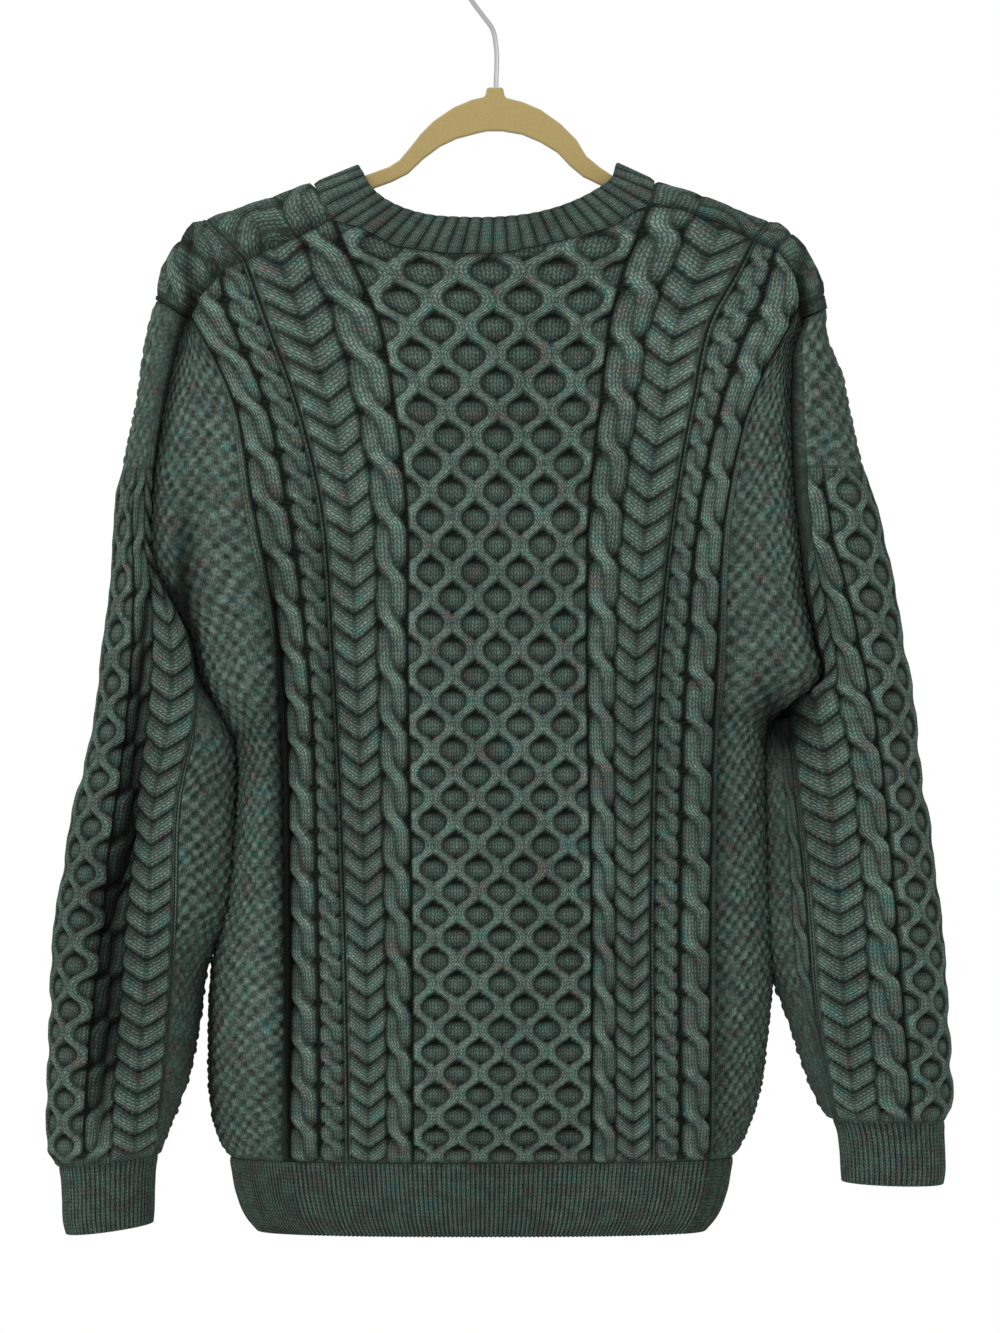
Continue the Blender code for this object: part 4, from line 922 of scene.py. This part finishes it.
def tied(tree, kind, **values):
    """A new node of this kind, its settings and its inputs given by name or number."""
    node = tree.nodes.new(kind)
    for key, value in values.items():
        if key == "inputs":
            for socket, source in value.items():
                if isinstance(source, bpy.types.NodeSocket):
                    tree.links.new(source, node.inputs[socket])
                else:
                    node.inputs[socket].default_value = source
        else:
            setattr(node, key, value)
    return node


def calc(tree, operation, a, b=0.0, c=0.0, clamp=False):
    """The result of a sum on these values."""
    node = tied(tree, "ShaderNodeMath", operation=operation, inputs={0: a, 1: b, 2: c})
    node.use_clamp = clamp
    return node.outputs[0]


def mixed(tree, share, a, b):
    return tied(tree, "ShaderNodeMix", data_type="FLOAT", inputs={0: share, 2: a, 3: b}).outputs[0]


def split_uv(tree, name):
    """A map of the cloth, whole and as its two numbers."""
    where = tied(tree, "ShaderNodeUVMap", uv_map=name).outputs[0]
    return where, tied(tree, "ShaderNodeSeparateXYZ", inputs={0: where}).outputs


def noise(tree, where, scale, detail):
    """Noise with this many grains to a metre, across and in the other two directions."""
    spread = tied(tree, "ShaderNodeMapping", inputs={0: where, 3: (scale[0], scale[1], scale[1])}).outputs[0]
    made = tied(tree, "ShaderNodeTexNoise", inputs={"Vector": spread, "Scale": 1.0, "Detail": detail})
    return made.outputs[0]


def new_material(name, settings):
    """A material, its node tree and its shader with these settings."""
    material = bpy.data.materials.new(name)
    material.use_nodes = True
    shader = material.node_tree.nodes["Principled BSDF"]
    for socket, value in settings.items():
        shader.inputs[socket].default_value = value
    return material, material.node_tree, shader


# Dyes of the heathered yarn with their places in the mix, and how strong the painted shade between stitches
# and in the pits is.
DYE_AT = (0.38, 0.44, 0.50, 0.56, 0.63)
DYE = [(0.086, 0.087, 0.075, 1), (0.052, 0.086, 0.079, 1), (0.073, 0.108, 0.087, 1),
       (0.092, 0.118, 0.100, 1), (0.056, 0.119, 0.101, 1)]
STITCH_SHADE = 1.0
PIT_POWER = 1.1
PIT_SHADE = (0.09, 1.54)


def wool(name, stitch, row, depth=1.0):
    """Heathered wool: V stitches on cables, bars on the purl ground, seeds on the moss."""
    material, tree, shader = new_material(name, {"Roughness": 0.92, "Specular IOR Level": 0.04,
                                                 "Sheen Weight": 0.015, "Sheen Roughness": 0.5})
    plus, less, times, scaled, divided = (
        partial(calc, tree, kind) for kind in ("ADD", "SUBTRACT", "MULTIPLY", "MULTIPLY_ADD", "DIVIDE"))
    power, sine, part, size = (partial(calc, tree, kind) for kind in ("POWER", "SINE", "FRACT", "ABSOLUTE"))
    uv, place = split_uv(tree, "knit")
    _, stuff = split_uv(tree, "stuff")
    _, shade = split_uv(tree, "shade")
    body = tied(tree, "ShaderNodeTexCoord").outputs["Object"]
    wave = scaled(noise(tree, body, (210.0, 210.0), 2.0), 0.0024, -0.0012)
    across = divided(plus(place[0], wave), stitch)
    along = divided(less(place[1], wave), row)
    off = size(less(part(across), 0.5))
    leg = sine(times(off, 2 * math.pi))
    turn = part(less(along, times(off, 1.5)))
    vee = times(leg, power(sine(times(turn, math.pi)), 0.6))
    bar_x = size(sine(times(across, math.pi)))
    bar_y = size(sine(times(along, math.pi)))
    purl = times(scaled(bar_x, 0.4, 0.5), bar_y)
    grains = scaled(noise(tree, body, (330.0, 420.0), 2.0), 3.0, -1.0, clamp=True)
    seeds = scaled(vee, 0.45, times(grains, 0.6))
    ground = mixed(tree, times(stuff[0], 2.0, clamp=True), vee, purl)
    ground = mixed(tree, scaled(stuff[0], 2.0, -1.0, clamp=True), ground, seeds)
    hair = noise(tree, uv, (1700.0, 1100.0), 4.0)
    fine = noise(tree, body, (420.0, 420.0), 2.0)
    patch = noise(tree, body, (80.0, 100.0), 3.0)
    broad = noise(tree, body, (17.0, 11.0), 2.0)
    heather = scaled(patch, 0.82, times(fine, 0.18))
    ramp = tied(tree, "ShaderNodeValToRGB", inputs={0: heather})
    stops = ramp.color_ramp.elements
    stops[0].position, stops[0].color = DYE_AT[0], DYE[0]
    stops[1].position, stops[1].color = DYE_AT[-1], DYE[-1]
    for spot_at, dye in zip(DYE_AT[1:-1], DYE[1:-1]):
        stops.new(spot_at).color = dye
    tone = scaled(broad, 0.6 * depth, 0.7 * depth)
    # Painted light and shade: stitch legs lighter and gaps darker, pits of the relief darker, then creases
    # and seams darker from the shade map; tone and hair are the yarn's own unevenness.
    stitch_shading = scaled(ground, STITCH_SHADE, 1 - 0.62 * STITCH_SHADE)
    deep = scaled(power(shade[0], PIT_POWER), PIT_SHADE[1] - PIT_SHADE[0], PIT_SHADE[0])
    dark = times(times(stitch_shading, deep), times(tone, scaled(hair, 0.9, 0.55)))
    dark = times(dark, shade[1])
    colour = tied(tree, "ShaderNodeMix", data_type="RGBA", blend_type="MULTIPLY",
                  inputs={0: 1.0, 6: ramp.outputs[0], 7: dark})
    tree.links.new(colour.outputs[2], shader.inputs["Base Color"])
    rough = scaled(hair, 0.5, ground)
    bump = tied(tree, "ShaderNodeBump", inputs={"Height": rough, "Strength": 0.9, "Distance": 0.0012})
    tree.links.new(bump.outputs[0], shader.inputs["Normal"])
    return material


def flock_material():
    """Short tan pile, grained in colour and height."""
    material, tree, shader = new_material("tan_flock", {"Roughness": 0.95, "Sheen Weight": 0.4})
    where = tied(tree, "ShaderNodeTexCoord").outputs["Object"]
    grain = tied(tree, "ShaderNodeTexNoise", inputs={"Vector": where, "Scale": 1600.0, "Detail": 3.0})
    ramp = tied(tree, "ShaderNodeValToRGB", inputs={0: grain.outputs[0]})
    ramp.color_ramp.elements[0].color = (0.184, 0.135, 0.040, 1)
    ramp.color_ramp.elements[1].color = (0.306, 0.232, 0.090, 1)
    tree.links.new(ramp.outputs[0], shader.inputs["Base Color"])
    bump = tied(tree, "ShaderNodeBump",
                inputs={"Height": grain.outputs[0], "Strength": 0.5, "Distance": 0.0004})
    tree.links.new(bump.outputs[0], shader.inputs["Normal"])
    return material


def plain_material(name, colour, rough, metal=0.0):
    return new_material(name, {"Base Color": (*colour, 1), "Roughness": rough, "Metallic": metal})[0]


def bar(material):
    """The hanger's bar with softened edges."""
    outline = HANGER["top"] + HANGER["bottom"][::-1]
    half = HANGER["thick"] / 2
    count = len(outline)
    points = [(x * MM, -half * MM, z * MM) for x, z in outline]
    points += [(x * MM, half * MM, z * MM) for x, z in outline]
    faces = [list(range(count))[::-1], list(range(count, 2 * count))]
    faces += [(k, (k + 1) % count, (k + 1) % count + count, k + count) for k in range(count)]
    mesh = bpy.data.meshes.new("hanger_flock")
    mesh.from_pydata(points, [], faces)
    mesh.materials.append(material)
    obj = linked("hanger_flock", mesh)
    bevel = obj.modifiers.new("soft", "BEVEL")
    bevel.width = 0.0016
    bevel.segments = 3
    bevel.limit_method = "ANGLE"
    bevel.angle_limit = math.radians(60)
    return obj


def tube(name, line, radius, material):
    """A round wire through these points in millimetres."""
    curve = bpy.data.curves.new(name, "CURVE")
    curve.dimensions = "3D"
    curve.bevel_depth = radius * MM
    curve.bevel_resolution = 6
    curve.use_fill_caps = True
    spline = curve.splines.new("POLY")
    spline.points.add(len(line) - 1)
    for point, place in zip(spline.points, line):
        point.co = (*(c * MM for c in place), 1)
    spline.use_smooth = True
    curve.materials.append(material)
    return linked(name, curve)


def hook_line():
    """The wire's middle from the bar up its stem and round the hook."""
    turns = np.radians(np.arange(205, -26, -3.0))
    ring = [(HOOK_CENTRE[0] + HOOK_ROUND * math.cos(a), HOOK_CENTRE[1] + HOOK_ROUND * math.sin(a))
            for a in turns]
    corners = np.array(HOOK_STEM + ring)
    along = run_of(np.hypot(*np.diff(corners, axis=0).T))
    at = np.linspace(0, along[-1], 120)
    return [(smooth(t, along, corners[:, 0]), 0, smooth(t, along, corners[:, 1])) for t in at]


def light(name, place, aim, size, power):
    lamp = bpy.data.lights.new(name, "AREA")
    lamp.size = size
    lamp.energy = power
    obj = linked(name, lamp)
    obj.location = place
    obj.rotation_euler = (Vector(aim) - Vector(place)).to_track_quat("-Z", "Y").to_euler()


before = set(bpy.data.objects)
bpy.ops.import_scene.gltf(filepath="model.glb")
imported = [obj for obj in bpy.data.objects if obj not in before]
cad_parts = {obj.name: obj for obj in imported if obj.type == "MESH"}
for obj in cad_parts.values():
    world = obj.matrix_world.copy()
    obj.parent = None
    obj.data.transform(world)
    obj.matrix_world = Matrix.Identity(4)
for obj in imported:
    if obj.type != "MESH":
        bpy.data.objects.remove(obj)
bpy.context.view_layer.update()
body_wool = wool("heather_wool", 0.0040, 0.0028)
rib_wool = wool("heather_rib", 0.0030, 0.0026, 0.72)
cloth = {"back": body_cloth("back_cloth", -1, body_wool, rows=316, over_rows=0),
         "front": body_cloth("front_cloth", 1, body_wool, rows=286, over_rows=28)}
for side, word in ((-1, "left"), (1, "right")):
    cloth[f"sleeve_{word}"] = sleeve_cloth(f"sleeve_{word}_cloth", side, body_wool, rows=300)
    cloth[f"cuff_{word}"] = rib_cloth(f"cuff_{word}_cloth", cuff_point(side), rib_wool, "cuff", side)
cloth["hem_back"] = rib_cloth("hem_back_cloth", hem_point(-1), rib_wool, "hem", 1)
cloth["hem_front"] = rib_cloth("hem_front_cloth", hem_point(1), rib_wool, "hem", -1)
cloth["neckband"] = rib_cloth("neckband_cloth", neck_point, rib_wool, "neck", 1)
for node, obj in cloth.items():
    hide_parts(node)

flock = bar(flock_material())
wire_hook = tube("hook_wire", hook_line(), WIRE / 2, plain_material("steel", (0.42, 0.42, 0.43), 0.25, 1))
for obj, node in ((flock, "hanger"), (wire_hook, "hook")):
    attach(obj, "root")
    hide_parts(node)

floor_mesh = bpy.data.meshes.new("floor")
floor_mesh.from_pydata([(-1.4, -1.3, -1.3), (1.4, -1.3, -1.3), (1.4, 1.1, -1.3), (-1.4, 1.1, -1.3)], [],
                       [(0, 1, 2, 3)])
floor = linked("floor", floor_mesh)
floor_mesh.materials.append(plain_material("pale_floor", (0.85, 0.85, 0.85), 0.9))

world = bpy.data.worlds.new("studio")
world.use_nodes = True
world.node_tree.nodes["Background"].inputs[0].default_value = (1, 1, 1, 1)
world.node_tree.nodes["Background"].inputs[1].default_value = 1.0
bpy.context.scene.world = world
light("key", (-1.1, -2.0, 1.3), (0, 0, -0.5), 1.2, 60)
light("fill", (1.4, -2.0, -0.3), (0, 0, -0.5), 1.6, 10)

camera = linked("camera", bpy.data.cameras.new("camera"))
camera.data.lens = 150
camera.location = (0.0035, -3.888, -0.5002)
camera.rotation_euler = (math.radians(90), 0, 0)
bpy.context.scene.camera = camera
bpy.context.scene.view_settings.view_transform = "Standard"
